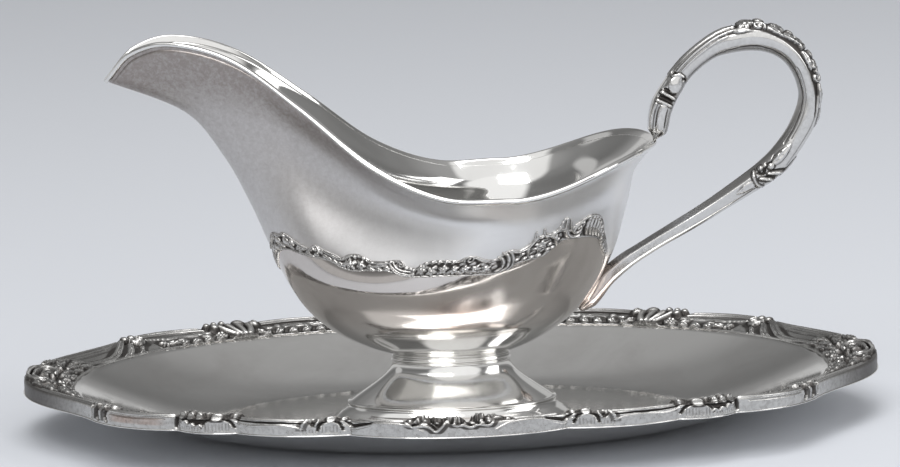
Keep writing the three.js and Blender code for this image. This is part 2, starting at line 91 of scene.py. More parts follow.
BOWL_SHEET = 1.1
BOWL_STEPS = 480
WALL_STEPS = 121
RIM_STEPS = 720
BOWL_BASE = (35.0, 21.0)
BOWL_WIDTH = 84.6
BOWL_WIDEST_X = 17.7
SPOUT_REACH = 95.0
BACK_REACH = 59.2
SIDE_HEIGHT = 48.0
BACK_HEIGHT = 58.8
SPOUT_TIP_HEIGHT = 81.0
SPOUT_CREST_HEIGHT = 91.3
SPOUT_NARROWING = 0.48
BACK_CORNER = 2.26
BACK_RISE_POWER = 1.68
# Profiles of the wall at the spout, the side and the back: share of the reach, share of the height
SPOUT_PROFILE = (
    (0, 0), (0.111, 0.039), (0.219, 0.096), (0.306, 0.171), (0.376, 0.272),
    (0.434, 0.398), (0.503, 0.557), (0.595, 0.728), (0.733, 0.89), (1, 1),
)
SIDE_PROFILE = (
    (0, 0), (0.219, 0.059), (0.4375, 0.146), (0.619, 0.262), (0.759, 0.423),
    (0.834, 0.585), (0.859, 0.718), (0.878, 0.827), (0.909, 0.906), (1, 1),
)
BACK_PROFILE = (
    (0, 0), (0.18, 0.056), (0.348, 0.131), (0.501, 0.223), (0.64, 0.361),
    (0.744, 0.517), (0.8, 0.656), (0.845, 0.781), (0.888, 0.9), (1, 1),
)
# Rise of the rim from the side to the spout: share of the way, share of the rise
SPOUT_RISE = (
    (0, 0), (0.17, 0.019), (0.34, 0.209), (0.51, 0.564), (0.68, 0.882), (0.84, 1), (0.94, 0.933),
    (1, (SPOUT_TIP_HEIGHT - SIDE_HEIGHT) / (SPOUT_CREST_HEIGHT - SIDE_HEIGHT)),
)
RIM_WIRE_HEIGHT = 2.0
RIM_WIRE_WIDTH = 2.3
# Outline of the rim: distance out from the wall, height above the edge of the sheet
RIM_SECTION = (
    (0.03, -0.15), (0.03, 0.3), (0.03, 0.7), (0.2, 0.84), (0.5, 1.02), (0.6, 1.4), (0.52, 1.9),
    (0.2, 2.22), (-0.3, 2.3), (-0.8, 2.18), (-1.08, 1.7), (-1.13, 1.0), (-1.13, 0.3), (-1.13, -0.15),
)
SEAM_GAP = 0.3
# Tarnish and painted shade on the bowl: x where they begin and where they are full
TARNISH_AND_SHADE_SPAN = (12, -45)
# Worn spot on the belly: x and z of its middle, its spread along both
WORN_BELLY = (1.0, 37.0)
WORN_SPREAD = (11.0, 4.5)

FRIEZE_THICKNESS = 1.0
# Edges of the frieze: degrees round the bowl from the back, lower and upper share up the wall
FRIEZE_EDGES = (
    (26, 0.525, 0.57), (31, 0.56, 0.665), (37, 0.605, 0.73), (45, 0.65, 0.765), (55, 0.68, 0.785),
    (63, 0.68, 0.79), (72, 0.615, 0.735), (80, 0.575, 0.67), (90, 0.555, 0.635), (105, 0.54, 0.6),
    (120, 0.545, 0.6), (140, 0.565, 0.61), (155, 0.56, 0.625), (166, 0.53, 0.605),
)

HANDLE_DEPTH_RATIO = 1.12
# Middle line of the handle: x, z and half thickness, the loop from the corner of the rim and the stem
# from the root. The root is a share up the wall and a half thickness.
HANDLE_LOOP = (
    (0.5, 1.75, 2.7), (1.7, 8, 3.1), (4.7, 13.7, 2.9), (9.2, 19.6, 2.9),
    (15.1, 24.4, 3.1), (20.3, 26.8, 3.7), (27.9, 28.4, 4.5), (34.5, 26.9, 4.1), (39.6, 23.5, 3.8),
    (42.9, 18.7, 3.6), (44.6, 13, 3.4), (44.6, 8.7, 3.4), (43.1, 3.7, 3.5), (40.1, -1.7, 3.4),
    (35.7, -7.4, 3.5), (31.5, -11.3, 3.5),
)
HANDLE_STEM = (
    (43.4, 25.8, 3.1), (35.2, 20.6, 2.7), (29.3, 17, 2.55), (23.5, 13.7, 2.45), (17.6, 10.4, 2.3),
    (11.7, 6.9, 2.3), (7, 3.9, 2.5),
)
HANDLE_ROOT = ((0.435, 2.3), (0.375, 2.15), (0.308, 1.9))


# Curves and formulas, all on numpy arrays

def smooth(low, high, value):
    share = np.clip((np.asarray(value, float) - low) / (high - low), 0, 1)
    return share * share * (3 - 2 * share)


def mix(a, b, share):
    return a + (b - a) * share


def unit(vectors):
    return vectors / np.maximum(np.linalg.norm(vectors, axis=-1, keepdims=True), 1e-12)


def curve_at(rows, x):
    """Height of the smooth curve through rows of (x, height)."""
    rows = np.asarray(rows, float)
    x = np.asarray(x, float)
    last = len(rows) - 1
    row = np.clip(np.searchsorted(rows[:, 0], x, side="left") - 1, 0, last - 1)

    def slope(a, b):
        return (rows[b, 1] - rows[a, 1]) / (rows[b, 0] - rows[a, 0])

    left = slope(np.maximum(row - 1, 0), row + 1)
    right = slope(row, np.minimum(row + 2, last))
    width = rows[row + 1, 0] - rows[row, 0]
    s = (x - rows[row, 0]) / width
    a = rows[row, 1]
    b = rows[row + 1, 1]
    return (a * (1 + 2 * s) * (1 - s) ** 2 + b * s * s * (3 - 2 * s)
            + width * (left * s * (1 - s) ** 2 - right * s * s * (1 - s)))


def spline(rows, t):
    """Point at share t along the even Catmull-Rom curve through rows of any width."""
    rows = np.asarray(rows, float)
    last = len(rows) - 1
    place = np.clip(np.asarray(t, float), 0, 1) * last
    i = np.clip(np.floor(place).astype(int), 0, last - 1)
    w = (place - i)[..., None]
    p1 = rows[i]
    p2 = rows[i + 1]
    start = (p2 - rows[np.maximum(i - 1, 0)]) / 2
    end = (rows[np.minimum(i + 2, last)] - p1) / 2
    return ((2 * p1 - 2 * p2 + start + end) * w ** 3
            + (3 * p2 - 3 * p1 - 2 * start - end) * w ** 2 + start * w + p1)


def oval(angle, half_length, half_width, corner=2.0):
    c = np.cos(angle)
    s = np.sin(angle)
    x = half_length * np.sign(c) * np.abs(c) ** (2 / corner)
    y = half_width * np.sign(s) * np.abs(s) ** (2 / corner)
    return np.stack([x, y], -1)


def blur(field, cells):
    """Soft mean of a height field over a few cells each way."""
    width = 2 * cells + 1
    for axis in (0, 1):
        pad = [(cells, cells) if a == axis else (0, 0) for a in (0, 1)]
        count = field.shape[axis]
        for _ in range(2):
            total = np.cumsum(np.pad(field, pad, mode="edge"), axis=axis)
            total = np.insert(total, 0, 0, axis=axis)
            high = np.take(total, range(width, width + count), axis=axis)
            low = np.take(total, range(count), axis=axis)
            field = (high - low) / width
    return field


# Meshes

def volume_of(points, faces):
    a = points[faces[:, 0]]
    total = 0.0
    for k in range(1, faces.shape[1] - 1):
        b = points[faces[:, k]]
        c = points[faces[:, k + 1]]
        total += np.einsum("ij,ij->i", a, np.cross(b, c)).sum() / 6
    return total


def grid_quads(rows, columns, wrap_rows=False, wrap_columns=False):
    """Quads over a grid of points stored row by row."""
    i = np.arange(rows if wrap_rows else rows - 1)
    j = np.arange(columns if wrap_columns else columns - 1)
    i, j = np.meshgrid(i, j, indexing="ij")
    i2 = (i + 1) % rows
    j2 = (j + 1) % columns
    quads = np.stack([i * columns + j, i2 * columns + j, i2 * columns + j2, i * columns + j2], -1)
    return quads.reshape(-1, 4)


def fan(centre, ring):
    """Triangles from one point to the sides of a closed ring of points."""
    return np.stack([np.full(len(ring), centre), ring, np.roll(ring, -1)], -1)


def make_piece(name, points, groups, fields=None):
    """Closed Blender object from points in millimetres and arrays of faces, turned to face outward."""
    if sum(volume_of(points, faces) for faces in groups) < 0:
        groups = [faces[:, ::-1] for faces in groups]
    mesh = bpy.data.meshes.new(name)
    mesh.from_pydata((points * MM).tolist(), [], [face for faces in groups for face in faces.tolist()])
    mesh.polygons.foreach_set("use_smooth", np.ones(len(mesh.polygons), bool))
    for field, values in (fields or {}).items():
        layer = mesh.attributes.new(field, "FLOAT", "POINT")
        layer.data.foreach_set("value", np.ascontiguousarray(values, dtype=np.float32).ravel())
    mesh.validate()
    mesh.update()
    piece = bpy.data.objects.new(name, mesh)
    bpy.context.scene.collection.objects.link(piece)
    return piece


def capped(points, groups, centres, rings, fields):
    """Points, faces and fields with a fan from each of two centres over the first and the last ring."""
    last = len(points)
    groups = groups + [fan(last, rings[0]), fan(last + 1, rings[1])[:, ::-1]]
    fields = {key: np.append(values, [0, 0]) for key, values in fields.items()}
    return np.concatenate([points, centres]), groups, fields


def sweep(name, loops, fields=None, ends=False):
    """Closed skin through loops[n, m, 3]: a ring of loops, or with flat ends."""
    rows, columns = loops.shape[:2]
    points = loops.reshape(-1, 3)
    groups = [grid_quads(rows, columns, wrap_rows=not ends, wrap_columns=True)]
    if ends:
        first = np.arange(columns)
        rings = (first, first + (rows - 1) * columns)
        centres = [loops[0].mean(axis=0), loops[-1].mean(axis=0)]
        points, groups, fields = capped(points, groups, centres, rings, fields)
    return make_piece(name, points, groups, fields)


# Ornament

class Relief:
    """Raised ornament over a surface: its height in mm at each pair of surface distances u and v."""

    def __init__(self, u, v):
        self.u = u
        self.v = v
        self.height = np.zeros_like(u)

    def around(self, low, high):
        """Cells within a box, so that a motif works on its own surroundings only."""
        return np.nonzero((self.u > low[0]) & (self.u < high[0]) & (self.v > low[1]) & (self.v < high[1]))

    def local(self, at, reach, angle=0.0):
        """Cells about a place, with their distances along a direction and across it."""
        cells = self.around((at[0] - reach, at[1] - reach), (at[0] + reach, at[1] + reach))
        c = math.cos(math.radians(angle))
        s = math.sin(math.radians(angle))
        du = self.u[cells] - at[0]
        dv = self.v[cells] - at[1]
        return cells, du * c + dv * s, dv * c - du * s

    def lift(self, cells, height):
        """Raise cells to a height where it is above what is there."""
        now = self.height[cells]
        self.height[cells] = np.where(height > 0, np.maximum(now, height), now)

    def groove(self, path, half_width, depth):
        """Rounded hollow along a path, cut through whatever is there."""
        other = Relief(self.u, self.v)
        other.line(path, half_width, depth, taper=0.3)
        self.height = np.where(other.height > 0, -other.height, self.height)

    def knob(self, at, radius, height):
        cells, u, v = self.local(at, radius)
        self.lift(cells, height * np.sqrt(np.clip(1 - (u * u + v * v) / radius ** 2, 0, 1)))

    def flower(self, at, radius, height, petals=5, turn=0.0):
        """Petals about a knob."""
        for k in range(petals):
            self.leaf(at, turn + 360 * k / petals, 1.04 * radius, 3.4 * radius / petals, 1.05 * height)
        self.knob(at, 0.3 * radius, height)

    def leaf(self, at, angle, length, width, height):
        """Pointed leaf from its stalk, with a midrib and notched sides."""
        cells, u, v = self.local(at, length, angle)
        share = np.clip(u / length, 0, 1)
        notch = 1 - 0.1 * np.abs(np.sin(share * np.pi * 3.5))
        half = width / 2 * np.sin(np.pi * share ** 0.7) ** 0.75 * notch + 1e-6
        body = np.sqrt(np.clip(1 - (v / half) ** 2, 0, 1)) * ((u > 0) & (u < length))
        vein = 0.92 + 0.08 * np.cos((u - 0.8 * np.abs(v)) * 2 * np.pi * 3.5 / length)
        midrib = 1 - 0.4 * np.exp(-((v / (0.13 * width)) ** 2))
        self.lift(cells, height * body * vein * midrib * (0.6 + 0.4 * np.sin(np.pi * share)))

    def line(self, path, half_width, height, strands=1, taper=0.45, even=True):
        """Rounded ridge along a smooth path, in one strand or two, thinner at both ends or at the last."""
        path = spline(path, np.linspace(0, 1, 7 * len(path)))
        cells = self.around(path.min(axis=0) - half_width, path.max(axis=0) + half_width)
        if not len(cells[0]):
            return
        u = self.u[cells]
        v = self.v[cells]
        near = np.full(u.shape, 1e9)
        along_path = np.zeros(u.shape)
        count = len(path) - 1
        for k in range(count):
            step = path[k + 1] - path[k]
            t = np.clip(((u - path[k, 0]) * step[0] + (v - path[k, 1]) * step[1]) / (step @ step), 0, 1)
            gap = np.hypot(u - path[k, 0] - t * step[0], v - path[k, 1] - t * step[1])
            closer = gap < near
            near = np.where(closer, gap, near)
            along_path = np.where(closer, (k + t) / count, along_path)
        end = np.abs(2 * along_path - 1) if even else along_path
        width = half_width * (1 - taper * end ** 2)
        across = near / width
        if strands == 2:
            across = np.where(across < 1, np.abs(across - 0.5) * 2, 2)
        self.lift(cells, height * np.sqrt(np.clip(1 - across ** 2, 0, 1)) * (1 - 0.35 * taper * end))

    def scroll(self, at, radius, height, start, turns=1.25, hand=1):
        """Ridge that winds inward to a knob; start is the direction of its outer end in degrees."""
        share = np.linspace(0, 1, 14)
        angle = np.radians(start) + hand * share * turns * 2 * np.pi
        reach = radius * (1 - 0.78 * share)
        path = np.stack([at[0] + reach * np.cos(angle), at[1] + reach * np.sin(angle)], -1)
        self.line(path, 0.26 * radius, height, even=False)
        self.knob((path[-1, 0], path[-1, 1]), 0.26 * radius, height)


# The underplate's outline

def quarter(degrees):
    """Degrees round the oval folded into its first quarter."""
    half = np.mod(degrees, 180)
    return np.minimum(half, 180 - half)


def lobe_bulge(degrees):
    """How far the scalloped outline stands out from the plain oval."""
    folded = quarter(degrees)
    off = folded / NOTCHES[0]
    bulge = END_BULGE * (1 - off ** 2) * (1 - END_SHOULDER * off ** 2)
    limits = NOTCHES + (180 - NOTCHES[3],)
    for low, high, height in zip(limits, limits[1:], LOBE_BULGES):
        share = np.clip((folded - low) / (high - low), 0, 1)
        bow_out = height * np.maximum(0, np.sin(np.pi * share)) ** LOBE_ROUNDNESS
        bulge = np.where(folded > low, bow_out, bulge)
    return bulge


def edge_point(degrees):
    half_length = PLATE_LENGTH / 2 - END_BULGE
    half_width = PLATE_WIDTH / 2 - SIDE_BULGE
    p = oval(np.radians(degrees), half_length, half_width, PLATE_CORNER)
    halves = np.array([half_length, half_width])
    outward = unit(np.sign(p) * np.abs(p / halves) ** (PLATE_CORNER - 1) / halves)
    return p + outward * lobe_bulge(degrees)[..., None]


def inner_point(degrees):
    return oval(np.radians(degrees), PLATE_LENGTH / 2 - BORDER_END_BAND,
                PLATE_WIDTH / 2 - BORDER_SIDE_BAND, PLATE_CORNER)


def underplate_sheet():
    """The raised dish: flat bottom, hollow curve up to the flange and a rounded edge."""
    degrees = np.arange(0, 360, 0.5)
    edge = edge_point(degrees)
    inner = inner_point(degrees)
    well = oval(np.radians(degrees), WELL_LENGTH / 2, WELL_WIDTH / 2)
    band = np.linalg.norm(edge - inner, axis=1, keepdims=True)
    rows = [(well * share, 0.0) for share in (0.3, 0.6, 0.85, 0.95)]
    for share in np.linspace(0, 1, 30):
        rows.append((mix(well, inner, share), PLATE_RIM_HEIGHT * share ** WELL_RISE_POWER))
    top_rows = [(plan, z + PLATE_SHEET) for plan, z in reversed(rows)]
    rows.append((mix(inner, edge, 0.5), PLATE_RIM_HEIGHT))
    lip = (PLATE_SHEET - WALL_DROP) / 2
    for turn in np.radians(np.linspace(-90, 90, 9)):
        inward = lip * (1 - math.cos(turn)) / band
        rows.append((mix(edge, inner, inward), PLATE_RIM_HEIGHT + lip + lip * math.sin(turn)))
    # The casting's wall stands in a step of the edge
    step = mix(edge, inner, CREST_INSET / band)
    rows += [(step, FLANGE_TOP - WALL_DROP), (step, FLANGE_TOP), (mix(inner, edge, 0.5), FLANGE_TOP)]
    rows += top_rows
    grid = np.stack([np.insert(plan, 2, z, axis=1) for plan, z in rows])
    count, columns = grid.shape[:2]
    first = np.arange(columns)
    rings = (first, first + (count - 1) * columns)
    quads = grid_quads(count, columns, wrap_columns=True)
    points, groups, _ = capped(grid.reshape(-1, 3), [quads], [[0, 0, 0], [0, 0, PLATE_SHEET]], rings, {})
    return make_piece("underplate_sheet_shaped", points, groups)


# The border

BORDER_STEP = 0.3
BORDER_ROWS = 110
FLUTE_PITCH = 0.95
INNER_RUN_INSET = 1.6
# The lobe worn to the copper: degrees round the oval
WORN_LOBE = (219, 232)


def border_base(degrees):
    """Plain section of the border at each angle: points [n, rows, 3]."""
    edge = edge_point(degrees)
    inner = inner_point(degrees)
    band = np.linalg.norm(edge - inner, axis=1)
    last = band - BORDER_INNER_LIP
    # From the foot of the wall to the inner edge: distance inward, height above the flange
    rows = [
        (WALL_INSET, -WALL_DROP), (WALL_INSET, 0.3), (WALL_INSET, 1.2), (WALL_INSET, 2.1),
        (WALL_INSET + 0.05, 2.85), (WALL_INSET + 0.4, BORDER_CROWN - 0.1), (1.4, BORDER_CROWN),
        (2.5, BORDER_CROWN - 0.3), (mix(2.7, last, 0.3), BORDER_CROWN - 1.0),
        (mix(2.7, last, 0.62), BORDER_SADDLE), (last - 1.5, BORDER_BEAD * 0.8),
        (last - 0.3, BORDER_BEAD * 0.5), (last, 0.0),
    ]
    inward = np.stack([np.broadcast_to(r[0], band.shape) for r in rows], 1)
    height = np.broadcast_to(np.array([r[1] for r in rows], float), inward.shape)
    t = np.linspace(0, 1, BORDER_ROWS)
    section = np.stack([inward, height], -1).transpose(1, 0, 2).reshape(len(rows), -1)
    section = spline(section, t).reshape(len(t), len(band), 2).transpose(1, 0, 2)
    inward = np.maximum(section[..., 0], 0)
    share = inward / band[:, None]
    plan = edge[:, None, :] + (inner - edge)[:, None, :] * share[..., None]
    height = section[..., 1]
    return np.concatenate([plan, (FLANGE_TOP + height)[..., None]], -1), inward, height


def path_length(points):
    step = np.linalg.norm(np.diff(points, axis=0), axis=1)
    return np.concatenate([[0], np.cumsum(step)])


OUTLINE_DEGREES = np.linspace(-90, 360, 9001)
OUTLINE_LENGTH = path_length(edge_point(OUTLINE_DEGREES))
OUTLINE_LENGTH = OUTLINE_LENGTH - np.interp(0, OUTLINE_DEGREES, OUTLINE_LENGTH)


def along(degrees):
    """Distance along the outline from the right end of the oval."""
    return np.interp(degrees, OUTLINE_DEGREES, OUTLINE_LENGTH)


def draw(motif, *rows):
    """The same motif once for each row of its arguments."""
    for row in rows:
        motif(*row)


def border_end(relief, n1):
    """Blossoms, scrolls and leaves about the end of the oval, and the ribbon from them."""
    draw(
        relief.groove,
        ([(0, 2.2), (8, 2.4), (15, 2.2), (22, 2.0)], 2.4, 0.5),
        ([(0, 7.6), (8, 7.0), (16, 7.2), (22, 6.4)], 2.4, 0.5),
    )
    draw(
        relief.line,
        ([(0, -0.3), (4.4, -0.4), (8.4, 0.6), (10.4, 3.2), (8.8, 6.2), (5.6, 6.8)], 0.8, 1.5),
        ([(0, 1.3), (4.0, 1.3), (7.0, 2.8), (7.2, 5.0)], 0.7, 1.4),
    )
    relief.groove([(0, 0.5), (4.2, 0.5), (7.4, 1.6), (8.8, 3.6)], 0.35, 0.5)
    for v, height in ((0.5, 0.4), (1.9, 0.35), (3.3, 0.3)):
        relief.line([(23, v), (34, v), (44, v * 0.8), (n1 - 3, 0.3 * v)], 0.55, height, taper=0.2)
        relief.groove([(24, v + 0.7), (34, v + 0.7), (44, 0.8 * v + 0.6)], 0.2, 0.25)
    draw(
        relief.flower,
        ((0, 5.2), 2.9, 2.0, 6), ((0, 10.8), 2.1, 1.4, 5, 36), ((12.6, 5.6), 2.6, 1.8, 5, 50),
        ((5.6, 9.6), 2.0, 1.3, 5, 20),
    )
    for u, v, angle, length in (
        (9.4, 1.0, 24, 6.0), (14.6, 0.4, 12, 6.5), (12.8, 2.8, 66, 4.2), (15.4, 4.6, -8, 7.0),
        (15.0, 7.4, 10, 7.0), (8.8, 8.0, 30, 5.4), (12.0, 10.6, 6, 6.0), (19.4, 1.8, 20, 6.4),
        (20.6, 5.6, 16, 7.4), (19.4, 9.4, 2, 7.0), (3.4, 12.0, 4, 5.0), (4.2, 3.4, 60, 3.6),
    ):
        relief.leaf((u, v), angle, length, 2.7, 1.5)
    # The ribbon's reeds cross from its inner side to the knobs on the crown
    draw(
        relief.line,
        ([(23, 8.2), (32, 8.0), (41, 6.6), (48, 3.7), (53.5, 1.0), (n1 + 2, 0.4)], 1.0, 0.75, 2),
        ([(24, 10.4), (34, 10.2), (43, 9.0), (50, 6.2), (n1, 3.2), (n1 + 4, 2.2)], 1.0, 0.75, 2),
        ([(26, 12.6), (36, 12.2), (46, 10.8), (53, 8.4), (n1 + 4, 5.2), (n1 + 7, 4.2)], 0.7, 0.6),
    )


def border_curl(relief, length):
    """The knobs and the curl beside the first notch, where u is 0, and the ribbon up to the second."""
    for u, lean in ((-0.6, 0.3), (3.6, -0.9), (7.6, -0.8)):
        relief.groove([(u, -4.8), (u + lean, -2.6), (u, -0.6), (u + 1.0, 0.9)], 0.7, 1.0)
    draw(
        relief.groove,
        ([(-1, 2.0), (4, 2.2), (9, 1.8)], 0.9, 0.8),
        ([(9, 1.4), (16, 1.5), (length - 1, 1.6)], 0.6, 0.5),
        ([(9, -1.9), (16, -2.1), (length - 4, -2.0)], 0.25, 0.2),
    )
    draw(
        relief.line,
        ([(0.8, -4.2), (0.9, -2.0), (1.6, -0.2), (3.0, 0.6)], 0.5, 0.7),
        ([(4.8, -4.0), (4.6, -2.0), (5.2, -0.4), (6.4, 0.4)], 0.5, 0.6),
        ([(8.6, -0.6), (14, -0.5), (21, -0.5), (length - 2, -0.4)], 0.8, 0.35),
        ([(8, 3.2), (15, 4.8), (22, 4.6), (length - 0.5, 3.2)], 0.8, 0.5, 2),
    )
    draw(relief.knob, ((1.4, 0.6), 1.5, 1.3), ((5.2, 0.4), 1.4, 1.1))
    relief.scroll((4.0, 3.4), 2.3, 1.2, 220, hand=-1)
    relief.flower((10.6, 8.0), 1.8, 1.2)
    relief.leaf((12, 8.0), 12, 5.5, 2.8, 1.2)


def flutes(relief, low, high, head):
    """Fine upright hollows side by side on the wall, up to a head."""
    for u in np.arange(low, high, FLUTE_PITCH):
        relief.groove([(u, -4.7), (u, head)], 0.2, 0.2)


def border_shell(relief, half):
    """The tall shell between two notches, u from its middle: low scallops beside a big dome."""
    low = -half
    draw(
        relief.groove,
        ([(low - 0.6, -4.8), (low - 0.5, -2.0), (low - 0.4, 0.6)], 0.5, 0.8),
        ([(low + 1.4, -1.3), (low + 4, -2.0), (low + 8, -2.1), (0.6, -1.4)], 0.8, 0.8),
        ([(-0.9, -3.6), (0.2, -1.6), (3.6, -0.5), (7.0, -1.5), (8.6, -3.4)], 0.45, 0.8),
        ([(low + 1, 1.2), (-4, 1.6), (0, 2.2), (6, 1.8)], 0.9, 1.0),
    )
    scallops = [
        (low + 0.5, -1.4), (low + 1.7, -2.6), (low + 2.8, -2.2), (low + 4.0, -3.2), (low + 5.2, -2.7),
        (low + 6.4, -3.6), (low + 7.6, -2.9), (low + 8.6, -3.4),
    ]
    relief.line(scallops, 0.3, 0.3, taper=0)
    relief.line([(-0.2, -3.8), (0.9, -2.2), (3.7, -1.2), (6.4, -2.1), (7.8, -3.6)], 0.35, 0.25, taper=0)
    flutes(relief, 0.4, 7.4, -2.4)
    flutes(relief, low + 0.6, -1.6, -3.7)
    for u, v, radius in (
        (-7.6, -0.3, 1.5), (-4.6, -0.4, 1.2), (-1.8, -0.2, 1.2), (3.4, 0.4, 2.2), (8.4, 0.2, 1.2),
    ):
        relief.knob((u, v), radius, 1.4)
    for side in (-1, 1):
        relief.knob((side * half * 0.74, 2.2), 1.9, 2.0)
        relief.leaf((side * 1.5, 8.4), 90 - side * 66, 7.5, 3.0, 1.6)
        relief.leaf((side * half * 0.5, 6.0), 90 - side * 100, 5.5, 2.6, 1.4)
    for reach in (-0.45, -0.15, 0.15, 0.45):
        rib = [(reach * 5, 7.6), (reach * half, 5.0), (reach * half * 1.2, 2.6)]
        relief.line(rib, 1.2, 1.7, even=False, taper=-0.2)
    relief.flower((0, 8.4), 2.3, 1.5, 5, 18)


def border_reeds(relief, length):
    """Reeds from the third notch, where u is 0, towards the fourth."""
    draw(
        relief.groove,
        ([(0, -1.35), (6, -1.5), (13, -1.4), (length - 13, -1.6)], 0.4, 0.5),
        ([(0, 1.2), (9, 1.3), (17, 1.3), (length - 12, 1.4)], 0.8, 0.8),
    )
    draw(
        relief.line,
        ([(-0.5, -0.4), (8, -0.5), (15, -0.4), (length - 12, -0.4)], 0.6, 0.5),
        ([(-0.5, -2.0), (4, -2.7), (11, -2.3), (16, -2.5), (length - 13, -3.2)], 0.4, 0.25),
        ([(2, 3.4), (10, 4.2), (17, 3.8), (length - 10, 2.8)], 0.8, 0.5, 2),
    )


def border_small_shell(relief):
    """The small shell beside the fourth notch, where u is 0."""
    draw(
        relief.groove,
        ([(-11.2, -0.6), (-10.2, -1.8), (-9.4, -0.8)], 0.7, 0.9),
        ([(-8.9, -3.6), (-8.0, -1.6), (-5.4, -0.5), (-2.9, -1.6), (-1.8, -3.6)], 0.45, 0.8),
    )
    draw(
        relief.line,
        ([(-13.4, -3.2), (-12.6, -1.4), (-10.6, 0.4), (-8.8, -0.6), (-9.4, -2.2)], 0.45, 0.6),
        ([(-8.1, -3.8), (-7.2, -2.2), (-5.4, -1.3), (-3.6, -2.2), (-2.7, -3.8)], 0.35, 0.25, 1, 0),
    )
    flutes(relief, -7.4, -3, -2.4)
    flutes(relief, -13, -9, -3.4)
    draw(relief.knob, ((-5.4, 0.5), 1.9, 1.2), ((-1.8, 0.2), 1.2, 0.9))
    for reach in (-1.0, 0.2, 1.4):
        rib = [(-5.6, 7.6), (-5.6 + reach, 5.4), (-5.6 + 2 * reach, 3.0)]
        relief.line(rib, 1.1, 1.4, even=False, taper=-0.2)
    relief.flower((-5.8, 8.0), 1.8, 1.2)
    relief.groove([(-1.2, -1.2), (1, -2.4), (4, -1.9), (7, -1.2)], 0.45, 0.6)
    relief.line([(-1.8, -2.4), (0.8, -3.5), (3.8, -2.9), (7, -2.0)], 0.55, 0.25, 2)


def border_middle(relief, notch):
    """Leaves, petals and a blossom before the middle of the long side, where u is 0."""
    draw(
        relief.groove,
        ([(notch + 5, 1.2), (notch + 12, 1.6), (-13, 2.6)], 0.7, 0.7),
        ([(-10, 2.6), (-5, 2.6), (0, 4.2)], 1.8, 1.0),
    )
    draw(
        relief.line,
        ([(notch + 7, -1.5), (notch + 12, -1.3), (notch + 17, -1.8), (notch + 21, -3.4)], 0.5, 0.25),
        ([(notch + 3, -0.4), (notch + 9, -0.2), (notch + 15, 0.2), (-13, 1.0)], 0.7, 0.5, 2),
    )
    draw(
        relief.leaf,
        ((-3.6, 3.4), 168, 11.5, 3.4, 1.6), ((-3.0, 6.8), 160, 8.5, 3.2, 1.3),
        ((-13.0, 0.9), -14, 5.0, 2.4, 1.5), ((-8.2, 1.3), 204, 4.4, 2.4, 1.5),
        ((-7.6, 0.5), 36, 4.0, 2.2, 1.5), ((-3.8, 1.0), 152, 4.2, 2.3, 1.5),
    )
    draw(relief.flower, ((0, 6.4), 2.2, 1.4, 5, 18), ((-6.8, 2.0), 1.7, 1.7, 5, 18))
    relief.knob((-13.4, 0.4), 1.2, 0.9)


def border_cluster(relief):
    """What hangs over the wall in the middle of the long side, from left to right as seen from outside."""
    hem = [
        (-14.6, -0.9), (-12.5, -2.1), (-9.3, -1.9), (-7.6, -2.5), (-6.1, -3.4), (-4.4, -1.9),
        (-3.2, -0.7), (-1.0, -1.9), (1.2, -1.8), (2.4, -2.3), (3.6, -2.4), (5.2, -1.7), (8.2, -2.1),
        (9.6, -0.5), (11.5, 0.4),
    ]
    relief.line(hem, 0.32, 0.6, taper=0)
    relief.flower((-0.6, 0.4), 2.1, 1.8, 6, 12)
    for u, v, angle, length, height in (
        (-12.4, -0.6, 20, 5.4, 1.2), (9.4, 0.6, 205, 4.8, 1.2), (-13.4, 0.7, 8, 6.6, 2.4),
        (-6.6, 1.2, 184, 5.0, 2.8), (2.6, 1.0, 14, 6.4, 2.8), (11.6, 1.2, 178, 5.4, 2.4),
        (-4.6, 1.3, 20, 4.0, 2.0),
    ):
        relief.leaf((u, v), angle, length, 2.5, height)
    for half_width, *path in (
        (0.45, (-12.7, -1.7), (-10.5, -0.6), (-8.5, 1.0)),
        (0.55, (-7.9, 1.4), (-7.0, -0.5), (-5.6, -1.8), (-5.0, -0.5), (-4.1, 1.0)),
        (0.45, (-8.5, -0.2), (-7.7, -1.3), (-6.5, -2.9)),
        (0.4, (-2.7, 1.2), (-2.0, -1.2)),
        (0.3, (-0.7, -0.2), (-0.5, -1.3)),
        (0.4, (1.2, 1.2), (0.5, -1.2)),
        (0.5, (2.2, 1.8), (2.2, -0.4), (3.0, -1.9)),
        (0.55, (4.3, 1.8), (4.5, -0.2), (5.2, -1.3)),
        (0.45, (5.9, 1.2), (6.6, 0.0), (7.6, -1.5)),
        (0.45, (7.4, 1.8), (8.6, 1.2), (9.6, 0.4)),
        (0.9, (-8.5, 1.6), (-7.9, 0.9)),
        (0.8, (3.1, 1.2), (3.5, 0.3)),
    ):
        relief.groove(path, half_width, 0.9)


def border_inner_run(relief, stretches, inner_edge):
    """Petals and buds in a row along the inner edge: stretches of low, high, pitch and petal length."""
    places = [(u, length) for low, high, pitch, length in stretches for u in np.arange(low, high, pitch)]
    for k, (u, length) in enumerate(places):
        v = inner_edge(u)
        relief.leaf((u, v + 0.8), -24, length, 2.6, 1.3)
        if k % 2:
            relief.knob((u + length * 0.5, v + 0.6), 1.0, 1.0)
        else:
            relief.leaf((u + length * 0.3, v - 2.6), 30, 0.8 * length, 2.0, 1.0)


